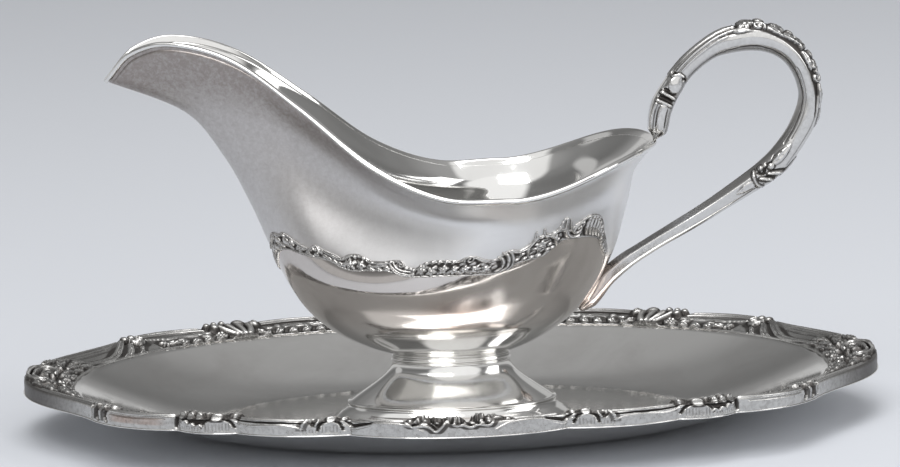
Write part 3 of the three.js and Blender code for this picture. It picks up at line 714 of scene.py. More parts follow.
def border_relief(s, v, width, from_middle):
    """Ornament height: s along the outline from the end, v inward from the crown, the wall below 0."""
    n1, n2, n3, n4 = (along(a) for a in NOTCHES)
    middle = along(90)
    relief = Relief(s, v)
    border_end(relief, n1)
    for origin, stretch, *sizes in (
        (n1, border_curl, n2 - n1),
        ((n2 + n3) / 2, border_shell, (n3 - n2) / 2),
        (n3, border_reeds, n4 - n3),
        (n4, border_small_shell),
        (middle, border_middle, n4 - middle),
    ):
        relief.u = s - origin
        stretch(relief, *sizes)
    order = np.argsort(s[:, 0])

    def inner_edge(at):
        return float(np.interp(at, s[order, 0], width[order, 0])) - INNER_RUN_INSET

    relief.u = s
    border_inner_run(relief, (
        (n1 + 16, n2 - 1, 4.6, 4.4), (n2 + 1, n3, 5.0, 4.8), (n3 + 3, n4 - 3, 4.7, 4.2),
        (n4 + 3, middle - 8, 4.3, 3.8),
    ), inner_edge)
    relief.u = from_middle
    border_cluster(relief)
    return relief.height


def surface_normals(points):
    """Unit normals of a grid of points that encloses its own middle."""
    normal = unit(np.cross(np.gradient(points, axis=0), np.gradient(points, axis=1)))
    out = points - points.mean(axis=1, keepdims=True)
    return normal * (1 if np.einsum("ijk,ijk->", normal, out) > 0 else -1)


def shadow_of(height, cells, step):
    """How dark each place lies: 1 where it is hollow or a step below the ornament about it."""
    peak = height
    for _ in range(cells):
        for axis in (0, 1):
            peak = np.maximum(peak, np.maximum(np.roll(peak, 1, axis), np.roll(peak, -1, axis)))
    below = smooth(0.18, 0.85, (peak - height) / step)
    return np.maximum(0.95 * below, np.clip(-2 * height / step, 0, 1))


def recess_of(height, fine, coarse):
    """How deep each place lies among raised ones: 0 open, 1 in a narrow groove."""
    narrow = np.clip((blur(height, 3) - height) / fine, 0, 1)
    wide = np.clip((blur(height, 9) - height) / coarse, 0, 1)
    return np.clip(narrow + 0.75 * wide, 0, 1)


def border_casting(name, low, high):
    """One of the four mounts, between two angles in degrees round the oval."""
    count = int((along(high) - along(low)) / BORDER_STEP)
    lengths = np.linspace(along(low), along(high), count)
    degrees = np.interp(lengths, OUTLINE_LENGTH, OUTLINE_DEGREES)
    base, inward, height = border_base(degrees)
    band = np.linalg.norm(edge_point(degrees) - inner_point(degrees), axis=1)
    middle = 270 if low > 180 else 90
    s, width, from_middle = (np.broadcast_to(row[:, None], inward.shape) for row in (
        along(quarter(degrees)), band - BORDER_INNER_LIP - CREST_INSET, lengths - along(middle),
    ))
    # The chart turns down at the crown and follows the wall below 0
    drop = np.clip(BORDER_CROWN - 0.3 - height, 0, None)
    v = inward - CREST_INSET - np.where(inward < CREST_INSET, drop, 0)
    relief = border_relief(s, v, width, from_middle)
    fade = smooth(-0.5 * WALL_DROP, 0.5 * WALL_DROP, height) * smooth(0.0, 0.7, width - v)
    # On the wall nothing stands out past the lip
    room = mix(WALL_INSET - 0.05, 9.0, smooth(0.5 * CREST_INSET, 1.3 * CREST_INSET, inward))
    lift = np.minimum(relief * fade, room)
    points = base + surface_normals(base) * lift[..., None]
    lowest = FLANGE_TOP - WALL_DROP * (inward < CREST_INSET)
    points[..., 2] = np.maximum(points[..., 2], lowest)
    # The outer wall gets painted shade, the more so towards the ends, and so do the low parts of the crown
    # and ribbon near the ends
    on_wall = smooth(CREST_INSET, 0.5 * CREST_INSET, inward)
    wall_and_end_shade = mix(0.88, 0.17, smooth(20, 60, s)) * on_wall
    wall_and_end_shade = np.maximum(wall_and_end_shade, 0.42 * smooth(46, 24, s) * smooth(0.9, 0.3, lift))
    # Painted shade about the raised ornament, taken from its full height though the wall's relief is clipped,
    # joined with the wall's painted shade
    oxide_and_shade = np.maximum(shadow_of(relief * fade, 4, 0.75) * fade, wall_and_end_shade)
    # One lobe of the wall, at the front beside the left end, is worn to the copper
    low, high = WORN_LOBE
    worn = smooth(low, low + 4, degrees) * smooth(high, high - 4, degrees)
    copper = worn[:, None] * on_wall * smooth(2.9, 2.2, height) * smooth(0.2, 0.9, height)
    return sweep(name, points, {"oxide_and_shade": oxide_and_shade, "copper": copper}, ends=True)


# The pedestal

def oval_loops(rows):
    """Closed profile of (half length, half width, z) carried round an oval."""
    angle = np.linspace(0, 2 * np.pi, OVAL_STEPS, endpoint=False)
    x = np.cos(angle)[:, None] * rows[None, :, 0]
    y = np.sin(angle)[:, None] * rows[None, :, 1]
    return np.stack([x, y, np.broadcast_to(rows[:, 2], x.shape)], -1)


def lathe(name, outside, inside):
    """Closed piece from its outer profile upwards and its inner one downwards."""
    return sweep(name, oval_loops(np.concatenate([outside, inside])))


def foot_base_band():
    base = np.array(FOOT_BASE) / 2
    top = np.array(FOOT_SHOULDER) / 2 - FOOT_SHEET * 0.4
    # Share of the height, share of the way out to the base
    ogee = [
        (1, 0), (0.95, 0.06), (0.85, 0.12), (0.68, 0.28), (0.55, 0.45), (0.38, 0.66), (0.25, 0.8),
        (0.16, 0.92), (0.1, 0.98), (0.05, 1), (0, 0.99),
    ]
    outside = [(*mix(top, base, spread), FOOT_BOTTOM + FOOT_BAND_HEIGHT * height) for height, spread in ogee]
    outside = spline(outside, np.linspace(0, 1, 40))
    return lathe("foot_base_band_shaped", outside, outside[::-1] - SHEET_INWARD)


def pedestal_foot():
    waist = np.array(FOOT_WAIST) / 2
    shoulder = np.array(FOOT_SHOULDER) / 2
    rows = []
    for height in np.linspace(0, 1, 48):
        flare = mix((1 - height) ** FOOT_FLARE_POWER, smooth(1, 0, height), FOOT_SHOULDER_ROUNDNESS)
        rows.append((*mix(waist, shoulder, flare), FOOT_SHOULDER_Z + FOOT_FLARE_HEIGHT * height))
    outside = np.array(rows)
    # A rolled shoulder line where the flare meets the band
    centre = shoulder - FOOT_BEAD[0]
    bead = [(*(centre + FOOT_BEAD[0] * math.cos(turn)), FOOT_SHOULDER_Z + FOOT_BEAD[1] * (1 + math.sin(turn)))
            for turn in np.linspace(-np.pi / 2, np.pi / 2, 9)]
    above = outside[outside[:, 2] > FOOT_SHOULDER_Z + 2 * FOOT_BEAD[1]]
    return lathe("pedestal_foot_shaped", np.concatenate([bead, above]), outside[::-1] - SHEET_INWARD)


def neck_collar():
    waist = np.array(FOOT_WAIST) / 2
    # A bead, a plain band and a dark groove under the bowl: millimetres out, share of the height
    outline = [
        (0.0, 0.0), (0.3, 0.06), (0.42, 0.14), (0.3, 0.22), (0.05, 0.28), (0.0, 0.4), (0.05, 0.58),
        (0.12, 0.72), (-0.3, 0.82), (-0.3, 0.9), (0.35, 1.0),
    ]
    outside = [(*(waist + out), FOOT_TOP + COLLAR_HEIGHT * height) for out, height in outline]
    hole = waist - COLLAR_SHEET
    return lathe("neck_collar_shaped", spline(outside, np.linspace(0, 1, 44)),
                 [(*hole, BOWL_BOTTOM), (*hole, FOOT_TOP)])


# The bowl

def bowl_point(up, angle):
    """Outside of the bowl at a share up its wall and an angle round it from the back."""
    up, angle = np.broadcast_arrays(np.asarray(up, float), np.asarray(angle, float))
    c = np.cos(angle)
    s = np.sin(angle)
    side = spline(SIDE_PROFILE, up)
    plan = smooth(0.45, 0.85, up)
    rim_like = np.maximum(0, (up - 0.55) / 0.45) ** 2.2
    widest = BOWL_WIDEST_X * smooth(0.3, 1, up)
    half_width = mix(BOWL_BASE[1], BOWL_WIDTH, side[..., 0]) / 2
    side_height = SIDE_HEIGHT * side[..., 1]

    spout = spline(SPOUT_PROFILE, up)
    reach = mix(BOWL_BASE[0] / 2, SPOUT_REACH, spout[..., 0])
    forward = np.clip(-c, 0, 1)
    rise = mix(c * c, curve_at(SPOUT_RISE, forward) / SPOUT_RISE[-1][1], rim_like)
    narrow = mix(1, mix(1, SPOUT_NARROWING, smooth(0, 0.72, forward)), plan)
    front = np.stack([
        widest + (reach + widest) * c,
        half_width * s * narrow,
        side_height + (SPOUT_TIP_HEIGHT * spout[..., 1] - side_height) * rise,
    ], -1)

    back_share = spline(BACK_PROFILE, up)
    reach = mix(BOWL_BASE[0] / 2, BACK_REACH, back_share[..., 0])
    corner = mix(2, BACK_CORNER, plan)
    px = np.maximum(c, 0) ** (2 / corner)
    py = np.sign(s) * np.abs(s) ** (2 / corner)
    rise = mix(px * px, np.sin(np.pi / 2 * px ** BACK_RISE_POWER), rim_like)
    back = np.stack([
        widest + (reach - widest) * px,
        half_width * py,
        side_height + (BACK_HEIGHT * back_share[..., 1] - side_height) * rise,
    ], -1)
    point = np.where((c < 0)[..., None], front, back)
    point[..., 2] += BOWL_BOTTOM
    return point


def bowl_offset(up, angle, outward, upward=0.0):
    """Point beside the wall, by distances out from it and up along it."""
    up, angle, outward, upward = np.broadcast_arrays(
        *(np.asarray(v, float) for v in (up, angle, outward, upward)))
    step = 1e-3
    wall = unit(bowl_point(np.minimum(1, up + step), angle) - bowl_point(np.maximum(0, up - step), angle))
    around = unit(bowl_point(up, angle + step) - bowl_point(up, angle - step))
    out = unit(np.cross(around, wall))
    return bowl_point(up, angle) + out * outward[..., None] + wall * upward[..., None]


def bowl():
    """The whole bowl as one skin: outside up, over the lip, inside down."""
    angle = np.linspace(0, 2 * np.pi, BOWL_STEPS, endpoint=False)[:, None]
    up = np.linspace(0, 1, WALL_STEPS)[None, :]
    outside = bowl_point(up, angle)
    inside = bowl_offset(up, angle, -BOWL_SHEET)
    inside[:, 0, 2] = BOWL_BOTTOM + BOWL_SHEET
    inside[..., 2] = np.maximum(inside[..., 2], BOWL_BOTTOM + BOWL_SHEET)
    shares = (0.25, 0.5, 0.75)
    top = [mix(outside[:, -1], inside[:, -1], share) for share in shares]
    floor_out = [outside[:, 0] * np.array([share, share, 1]) for share in shares]
    floor_in = [inside[:, 0] * np.array([share, share, 1]) for share in reversed(shares)]
    grid = np.concatenate([
        np.stack(floor_out, 1), outside, np.stack(top, 1), inside[:, ::-1], np.stack(floor_in, 1),
    ], axis=1)
    rows, columns = grid.shape[:2]
    walls = slice(len(shares), len(shares) + WALL_STEPS)
    fields = {key: np.zeros((rows, columns)) for key in ("satin", "tarnish_and_shade", "outer")}
    # Satin above the frieze on the outside, polished below it and inside
    degrees = np.degrees(np.minimum(angle, 2 * np.pi - angle))
    middle = [(at, mix(low, high, 0.4)) for at, low, high in FRIEZE_EDGES]
    line = curve_at([(0, 0.5), *middle, (180, 0.5)], degrees)
    fields["satin"][:, walls] = smooth(-0.01, 0.03, up - line)
    # Tarnish and painted shade darken the spout, most of all under its edge
    below_edge = 0.35 * smooth(0.45, 0.9, up) + 0.35 * smooth(0.86, 0.98, up)
    fields["tarnish_and_shade"][:, walls] = smooth(*TARNISH_AND_SHADE_SPAN, outside[..., 0]) * (0.3 + below_edge)
    fields["outer"][:, walls] = smooth(26, 36, outside[..., 2])
    # The plate is worn thin on the belly, in the middle of the front
    off = (grid[..., [0, 2]] - WORN_BELLY) / WORN_SPREAD
    spot = np.exp(-off[..., 0] ** 2 - off[..., 1] ** 2)
    fields["copper"] = 0.7 * spot * (grid[..., 1] < 0)
    # The fans over the middle of the floor, seen from below and from above
    first = np.arange(rows) * columns
    centres = [[0, 0, BOWL_BOTTOM + BOWL_SHEET], [0, 0, BOWL_BOTTOM]]
    rings = (first + columns - 1, first)
    quads = grid_quads(rows, columns, wrap_rows=True)
    return make_piece("bowl_shaped", *capped(grid.reshape(-1, 3), [quads], centres, rings, fields))


def rim_wire():
    """Bead along the edge of the bowl, above a plain band flush with the wall."""
    angle = np.linspace(0, 2 * np.pi, RIM_STEPS, endpoint=False)[:, None]
    section = spline(RIM_SECTION, np.linspace(0, 1, 64))
    loops = bowl_offset(1.0, angle, section[None, :, 0], section[None, :, 1])
    # The plain band outside is satin, with tarnish and painted shade like the wall
    plain = (section[:, 0] > -0.2) & (section[:, 1] < 0.86)
    plain = np.broadcast_to(plain.astype(float), loops.shape[:2])
    tarnish_and_shade = 0.95 * smooth(*TARNISH_AND_SHADE_SPAN, loops[..., 0]) * plain
    return sweep("rim_wire_shaped", loops, {"satin": plain, "outer": plain, "tarnish_and_shade": tarnish_and_shade})


# The frieze

# The chart: its step, the share up the wall where distances round the bowl are measured, the share
# where heights count from, both spans, and the stretch of the wall that is tabled
FRIEZE_STEP = 0.2
FRIEZE_LEVEL = 0.63
FRIEZE_DATUM = 0.5
FRIEZE_SPAN = (16.0, 142.0)
FRIEZE_RISE = (-3.0, 24.0)
FRIEZE_WALL = (0.45, 0.95)
FRIEZE_GROUND = 0.25
# Reed along the foot: half width and height
FRIEZE_REED = (0.28, 0.5)
# How deep the face and the back of the strip lie in the wall
FRIEZE_SINK = (0.12, 0.45)
# The fluted palmette has no foliage under it
PALMETTE = (23.0, 35.0)
FOLIAGE_PITCH = 1.45
FOLIAGE_RISE = 1.35
# Lower and upper edge: distance round the bowl from the back, height up the wall
FRIEZE_FOOT = (
    (16, 3.5), (19, 5.2), (22, 8.2), (25, 10.8), (28, 12.1), (32, 13.2), (38, 13.9), (41.5, 14), (43, 12),
    (45, 9.6), (48, 8.9), (52, 8), (54, 6), (56.5, 4.7), (62, 4.5), (70, 4.1), (78, 3.5), (83, 3.2),
    (88, 4), (92, 4.6), (97, 4.3), (102, 3.8), (106, 4.4), (110, 6.1), (115, 6.6), (120, 7.2), (125, 7.8),
    (130, 6.2), (134, 2.8), (138.5, -0.4), (142, -2.6),
)
FRIEZE_HEAD = (
    (16, 5.5), (18.5, 8), (22, 10.6), (25, 13.8), (28, 17.8), (31, 19.9), (35, 20.6), (38, 19.2), (41, 17.4),
    (44, 18.4), (47, 17.2), (50, 17.2), (52, 14.6), (54, 12.6), (57, 12.8), (59, 10), (62, 10), (66, 10.8),
    (69, 9.2), (74, 8.7), (78, 7.8), (81, 6), (84, 6.2), (87, 7.8), (91, 7.3), (96, 7.2), (98, 8.4),
    (102, 8.9), (106, 7.4), (110, 8.9), (113.5, 10.6), (116, 9.3), (120, 10.8), (124, 13), (127, 12.2),
    (129.7, 12.2), (132, 9.6), (135, 7), (138.5, 4.2), (142, 0.4),
)


def frieze_spout_end(relief):
    """Lumpy leaves and buds towards the spout."""
    for u, v, radius in (
        (127.8, 10.2, 1.5), (124, 10.3, 1.7), (129.6, 7.9, 1.2), (131.6, 6.9, 1.1),
        (126, 9.2, 1.1), (121.9, 10.4, 1.1), (124.3, 12.2, 0.8), (129.6, 10.8, 0.9),
    ):
        relief.knob((u, v), radius, 1.0)
    for u, v, angle, length in (
        (121, 8.4, 150, 3.6), (119.5, 8.8, 170, 3.2), (126.4, 7.9, 60, 3.4), (131, 5.8, 70, 4),
        (133, 4.6, 80, 3.4), (134.6, 3.6, 95, 3), (134.6, 2.4, 70, 3.4), (136.4, 1.6, 85, 3.4),
        (138, 0.2, 90, 3.2), (139.6, -1.2, 95, 3), (128.2, 7.2, 100, 3), (122.6, 8.2, 80, 3),
    ):
        relief.leaf((u, v), angle, length, 1.7, 0.9)
    draw(
        relief.line,
        ([(120.6, 10.7), (118.4, 9.6), (116, 8.9)], 0.7, 0.75, 2),
        ([(120, 7.7), (117.5, 7.2), (115, 7.1)], 0.45, 0.6),
        ([(110.6, 9.1), (108, 8), (105.4, 7.1)], 0.7, 0.7, 2),
    )
    relief.scroll((113.8, 9.4), 1.35, 1.0, 250, hand=-1)
    draw(relief.leaf, ((113.2, 8.2), 62, 2.8, 1.3, 0.9), ((111.8, 7.9), 68, 2.4, 1.2, 0.8))
    for u, v, angle in ((110.8, 7.2, 200), (109, 6.8, 215), (107.4, 6.2, 205), (105.6, 5.6, 170)):
        relief.leaf((u, v), angle, 2.6, 1.4, 0.85)


def frieze_side(relief):
    """Blossoms between reeds and a scroll along the side of the bowl."""
    draw(
        relief.flower,
        ((102.8, 5.9), 1.9, 1.0, 5, 20), ((99.3, 5.8), 1.7, 0.95, 5, 50), ((79.4, 5.5), 1.9, 1.0, 6, 10),
        ((76, 5.2), 1.8, 1.0, 5, 40), ((72.5, 5.9), 1.7, 1.0, 5, 15), ((69.2, 5.9), 1.6, 1.0, 5, 60),
        ((66, 6.4), 1.6, 1.0), ((63, 6.6), 1.6, 1.0, 5, 30), ((59.8, 6.4), 1.5, 1.0, 5, 50),
    )
    draw(
        relief.line,
        ([(104.8, 7.3), (102.6, 8.4), (100, 8.6), (97.6, 8), (95.4, 7)], 0.55, 0.7, 2),
        ([(95.6, 6.9), (92.4, 6.7), (89.4, 7.1)], 0.65, 0.75, 2),
        ([(96.6, 5.5), (94, 5.7), (91.2, 6)], 0.45, 0.6),
        ([(89.6, 6.4), (88.2, 4.9), (86, 3.9), (83, 3.7), (81.4, 4)], 0.55, 0.85, 2),
        ([(88.6, 7.2), (87.4, 5.6), (85.2, 4.8), (82.6, 4.7)], 0.45, 0.8),
        ([(69, 8.6), (67.9, 9.6), (67, 10.2)], 0.6, 0.85),
        ([(64.4, 10.1), (62.2, 9.5), (60, 8.9)], 0.6, 0.75, 2),
    )
    draw(relief.scroll, ((86, 6.5), 1.2, 0.95, 60, 1.0), ((66.1, 9.5), 1.4, 1.0, 330))
    for u, v, angle in ((97, 4.9, 190), (94.4, 4.9, 188), (91.8, 5.2, 180)):
        relief.leaf((u, v), angle, 2.8, 1.3, 0.85)
    for u, v, angle in ((67.6, 5, 160), (64.4, 5, 150), (61.2, 5, 150), (62.8, 8.6, 200), (60.8, 8, 230)):
        relief.leaf((u, v), angle, 2.4, 1.2, 0.8)
    draw(relief.knob, ((98.2, 7.8), 0.65, 0.95), ((101, 8.1), 0.6, 0.9))
    for at in ((84.2, 5.6), (82.8, 5.5), (81.6, 5.2)):
        relief.knob(at, 0.55, 0.8)
    for at in ((78.2, 7.3), (76.4, 7.8), (74.4, 8), (72.4, 8.2), (70.4, 8.3)):
        relief.knob(at, 0.7, 0.85)


def frieze_back_end(relief):
    """Sheaf, two horns and the fluted palmette towards the handle."""
    draw(
        relief.line,
        ([(58.4, 12.2), (56.4, 11.2), (54.8, 9.2), (54.2, 7.2), (55.6, 5.4)], 0.55, 1.0),
        ([(57.0, 12.8), (55.2, 11.4), (53.6, 9.2), (53.0, 7.4), (53.9, 5.9)], 0.5, 1.0),
        ([(58.9, 10.8), (57.2, 9.9), (55.9, 8.4), (55.6, 6.9), (56.9, 5.6)], 0.5, 0.9),
        ([(56, 12.9), (54, 12.3), (52.5, 12.9), (51.4, 14.6), (51.3, 16.6), (52.4, 18.7)], 0.75, 0.95, 2),
        ([(50.4, 19.5), (48.9, 17.6), (46.9, 16.9), (45.3, 18.4), (44.9, 21.8)], 0.7, 0.95, 2),
        ([(44.2, 21.9), (42.5, 18), (40.5, 15.6), (38.4, 14.6), (36, 14.6)], 0.75, 1.1),
        ([(42.6, 21.4), (41, 18.4), (39.2, 16.4)], 0.5, 0.9),
        ([(39.6, 18.6), (37, 19.8), (34.8, 20.4), (31.4, 19.8), (28.6, 18.2)], 0.5, 0.8),
    )
    for u, v, end_u, end_v in ((51.3, 13.9, 50.2, 10.8), (44.9, 16.7, 42.6, 13.0), (46.5, 16.6, 44.6, 15.4)):
        bend = (mix(u, end_u, 0.5) + 0.4, mix(v, end_v, 0.5) + 0.3)
        relief.line([(u, v), bend, (end_u, end_v)], 0.6, 0.95)
    relief.scroll((37.4, 17.1), 2.0, 1.0, 120, hand=-1)
    relief.flower((48.0, 13.5), 2.3, 1.0, 6, 20)
    for at in (
        (50.8, 16.0), (49.4, 16.6), (47.8, 16.7), (45.3, 13.6), (45.0, 11.9), (43.7, 12.3), (43.5, 14.9),
    ):
        relief.knob(at, 0.7, 0.95)
    for at in ((52.6, 9.3), (50.6, 9.5), (48.6, 9.7), (46.6, 9.9), (52, 11.2)):
        relief.knob(at, 0.75, 0.9)
    # The palmette's ribs fan out from its foot and end in buds
    for u, v, foot_u, foot_v in (
        (34.4, 19.6, 32.9, 14.4), (32.9, 19.7, 31.3, 14), (31.4, 19.3, 29.7, 13.4), (29.8, 18.4, 28.1, 12.9),
        (28.4, 17, 26.4, 12.2), (26.8, 15.2, 24.8, 11.6), (25.2, 13.3, 23.2, 10),
    ):
        relief.line([(u, v), (mix(u, foot_u, 0.15), mix(v, foot_v, 0.5)), (foot_u, foot_v)], 0.56, 1.05)
        relief.knob((u, v), 0.62, 1.0)
    for at in ((23.6, 10.6), (22, 9.2), (20.4, 7.8), (18.8, 6.6)):
        relief.leaf(at, 250, 2.8, 1.3, 0.8)


def frieze_foliage(relief):
    """Small leaves close together under the larger motifs, in rows from the foot to the head."""
    for k, u in enumerate(np.arange(FRIEZE_SPAN[0] + 3, FRIEZE_SPAN[1] - 4, FOLIAGE_PITCH)):
        if PALMETTE[0] < u < PALMETTE[1]:
            continue
        foot = float(curve_at(FRIEZE_FOOT, u))
        head = float(curve_at(FRIEZE_HEAD, u))
        for row in range(max(1, int((head - foot - 1.2) / FOLIAGE_RISE))):
            lean = 62 if (k + row) % 2 else 128
            relief.leaf((u + 0.5 * (row % 2), foot + 0.5 + FOLIAGE_RISE * row), lean, 1.9, 1.15, 0.62)


def frieze_edges_reed(relief):
    """Double reed that follows the head of the strip."""
    path = [(at, head - 0.35) for at, head in FRIEZE_HEAD[2:-2]]
    relief.line(path, 0.5, 0.7, 2, taper=0)


def frieze_strip(name, sign):
    """Relief over a chart of the wall: a round the bowl at one level, w up the wall."""
    angles = np.linspace(0, np.pi, 3001)
    round_bowl = path_length(bowl_point(FRIEZE_LEVEL, angles)[:, :2])
    # The strip ends at the middle plane, where the other one begins
    ahead = min(FRIEZE_SPAN[1], round_bowl[-1] - FRIEZE_STEP)
    a = np.arange(FRIEZE_SPAN[0], ahead, FRIEZE_STEP)[:, None]
    w = np.arange(*FRIEZE_RISE, FRIEZE_STEP)
    angle = np.interp(a, round_bowl, angles)
    ups = np.linspace(*FRIEZE_WALL, 240)
    climbs = [path_length(wall) for wall in bowl_point(ups, angle)]
    up = np.stack([np.interp(w + np.interp(FRIEZE_DATUM, ups, climb), climb, ups) for climb in climbs])
    a, w = np.broadcast_arrays(a, w)
    relief = Relief(np.ascontiguousarray(a), np.ascontiguousarray(w))
    frieze_foliage(relief)
    frieze_edges_reed(relief)
    frieze_spout_end(relief)
    frieze_side(relief)
    frieze_back_end(relief)
    foot = curve_at(FRIEZE_FOOT, a)
    head = curve_at(FRIEZE_HEAD, a)
    ground = smooth(0, 0.35, w - foot) * smooth(0, 0.35, head - w)
    away = 1 - smooth(2.5, 0, np.abs(a - FRIEZE_SPAN[0]))
    height = np.maximum(relief.height, FRIEZE_GROUND * ground) * away
    reed = 1 - ((w - foot - 0.1) / FRIEZE_REED[0]) ** 2
    height = np.maximum(height, FRIEZE_REED[1] * np.sqrt(np.clip(reed, 0, 1)) * away)
    keep = height > 0.05
    angle = sign * np.broadcast_to(angle, up.shape)
    top = bowl_offset(up, angle, FRIEZE_THICKNESS * height - FRIEZE_SINK[0])
    bottom = bowl_offset(up, angle, -FRIEZE_SINK[1])
    # Darker in the hollows and on the ground between motifs: oxide, with painted shade in the broad hollows
    oxide_and_shade = 1.5 * recess_of(height, 0.22, 1.3) + 0.3 * (height < FRIEZE_GROUND + 0.02)
    return relief_slab(name, top, bottom, keep, np.clip(oxide_and_shade, 0, 1))


def relief_slab(name, top, bottom, keep, oxide_and_shade):
    """Closed slab between two grids, cut to the cells whose corners are all kept."""
    rows, columns = keep.shape
    quads = grid_quads(rows, columns)
    whole = keep.ravel()[quads].all(axis=1).reshape(rows - 1, columns - 1)
    # Cells that would touch only at a corner get a neighbour that joins them
    near, far = whole[:-1, :-1], whole[1:, 1:]
    low, high = whole[1:, :-1], whole[:-1, 1:]
    low |= near & far & ~high
    near |= low & high & ~far
    cells = quads[whole.ravel()]
    count = rows * columns
    edges = np.concatenate([cells[:, [k, (k + 1) % 4]] for k in range(4)])
    key = edges[:, 0] * count + edges[:, 1]
    back = edges[:, 1] * count + edges[:, 0]
    rim = edges[~np.isin(key, back)]
    walls = np.stack([rim[:, 1], rim[:, 0], rim[:, 0] + count, rim[:, 1] + count], -1)
    faces = np.concatenate([cells, cells[:, ::-1] + count, walls])
    points = np.concatenate([top.reshape(-1, 3), bottom.reshape(-1, 3)])
    values = np.concatenate([oxide_and_shade.ravel(), oxide_and_shade.ravel()])
    used = np.unique(faces)
    index = np.full(len(points), -1)
    index[used] = np.arange(len(used))
    return make_piece(name, points[used], [index[faces]], {"oxide_and_shade": values[used]})


# The handle

# Along the middle line from the tip: the panel, the flowers and the stem. The stem's six flats face
# the angles of STEM_NORMALS, in degrees from the outer side.
HANDLE_STEP = 0.25
TIP_REACH = 1.8
ROOT_SINK = 0.7
HANDLE_COLUMNS = 104
PANEL_END = 15.0
FLOWERS_START = 38.0
FLOWERS_END = (76, 70)
FLANK_STRETCH = 1.05
STEM_START = 99.0
STEM_NORMALS = (28, 82, 150, 210, 278, 332)


def handle_rows():
    """Points of the middle line in the plane of symmetry: x, z and half thickness."""
    outer = (RIM_WIRE_WIDTH - BOWL_SHEET) / 2
    section = [
        (outer - 0.2, SEAM_GAP), (outer, SEAM_GAP + 0.6), (outer - 0.2, SEAM_GAP + 1.6),
        (outer - RIM_WIRE_WIDTH / 2, SEAM_GAP + RIM_WIRE_HEIGHT),
    ]
    corner = np.max([bowl_offset(1.0, 0.0, out, up)[[0, 2]] for out, up in section], axis=0)
    root = bowl_point(HANDLE_ROOT[0][0], 0.0)[[0, 2]]
    rows = [(corner[0] - 0.3, corner[1] - 1.1, 1.0)]
    for start, stretch in ((corner, HANDLE_LOOP), (root, HANDLE_STEM)):
        rows += [(start[0] + x, start[1] + z, half) for x, z, half in stretch]
    for up, half in HANDLE_ROOT:
        x, _, z = bowl_offset(up, 0.0, half - ROOT_SINK)
        rows.append((x, z, half + ROOT_SINK / 2))
    return np.array(rows)


def handle_line():
    """Evenly spaced middle line: distance along it, (x, z, half thickness) and direction."""
    fine = spline(handle_rows(), np.linspace(0, 1, 4000))
    length = path_length(fine[:, :2])
    even = np.linspace(0, length[-1], int(length[-1] / HANDLE_STEP))
    line = np.stack([np.interp(even, length, fine[:, k]) for k in range(3)], -1)
    # The stem comes down to the bowl in one easy bend
    soft = line[:, :2]
    for _ in range(60):
        inner = (soft[:-2] + 2 * soft[1:-1] + soft[2:]) / 4
        soft = np.concatenate([soft[:1], inner, soft[-1:]])
    share = smooth(length[-1] - 26, length[-1] - 18, even)[:, None]
    line[:, :2] = mix(line[:, :2], soft, share)
    tangent = unit(np.gradient(line[:, :2], axis=0))
    return even, line, tangent


def handle_face(relief):
    """Ornament on each flank: v from the middle of the flank, minus towards the outer side."""
    draw(
        relief.groove,
        ([(-0.2, 0.9), (0.6, 1.2)], 0.6, 0.6),
        ([(2.4, -1.0), (5, -1.0), (8.2, -1.0)], 0.25, 0.3),
        ([(2.4, 1.6), (5, 1.6), (8.2, 1.6)], 0.25, 0.3),
        ([(8.9, -0.2), (8.9, 0.9)], 0.3, 0.4),
        ([(10.6, -1.9), (10.6, 0.0), (10.6, 1.7)], 0.75, 0.8),
        ([(13.1, -1.9), (13.1, 0.0), (13.1, 1.7)], 0.55, 0.6),
        ([(18.4, -3.4), (18.2, -2.4), (18.6, -1.6)], 0.5, 0.7),
        ([(18.2, 2.8), (18.6, 1.8), (18.0, 1.2)], 0.45, 0.6),
        ([(20, -2.2), (28, -2.1), (37, -2.3)], 0.35, 0.35),
        ([(20, 2.6), (34, 3.0), (52, 3.4), (70, 3.0), (86, 2.4)], 0.3, 0.3),
        ([(60, 2.0), (72, 1.8), (84, 1.4)], 0.2, 0.15),
        ([(91.4, -3.8), (93.0, -2.0), (94.6, -0.6)], 0.55, 0.7),
        ([(94.4, -3.6), (95.6, -2.2), (97.0, -1.0)], 0.5, 0.7),
        ([(90.6, 2.4), (92.4, 1.6), (94.2, 2.4)], 0.5, 0.6),
        ([(95.4, 1.6), (97.0, 0.6), (98.2, 1.8)], 0.5, 0.6),
    )
    draw(
        relief.line,
        ([(1.6, -2.1), (5.0, -2.2), (8.6, -2.1)], 0.4, 0.4, 1, 0),
        ([(2.2, 0.3), (5.0, 0.3), (8.2, 0.3)], 1.15, 0.35, 1, 0),
        ([(9.5, -2.2), (9.6, 0), (9.5, 2.0)], 0.42, 0.45, 1, 0),
        ([(11.9, -2.2), (12.0, 0), (11.9, 2.0)], 0.4, 0.45, 1, 0),
        ([(14.6, 0.4), (16.0, 0.0), (17.2, -0.3)], 1.9, 0.45, 1, 0.2),
        ([(17.2, -2.2), (18.6, -0.6), (18.9, 1.0)], 0.45, 0.5),
        ([(92.6, -3.6), (94.2, -1.8), (95.8, -0.4)], 0.55, 0.75),
        ([(95.8, -3.4), (97.0, -1.6), (98.6, -0.2)], 0.55, 0.7),
        ([(99.2, -3.4), (100.2, -1.2), (99.8, 1.2), (98.8, 3.2)], 0.45, 0.5, 1, 0.2),
    )
    draw(relief.leaf, ((STEM_START - 6.0, 1.0), 184, 8.0, 3.0, 0.55), ((100.0, -0.4), 2, 6.5, 2.6, 0.4))
    draw(relief.knob, ((93.8, 0.8), 1.1, 0.65), ((96.6, 2.6), 0.9, 0.6))


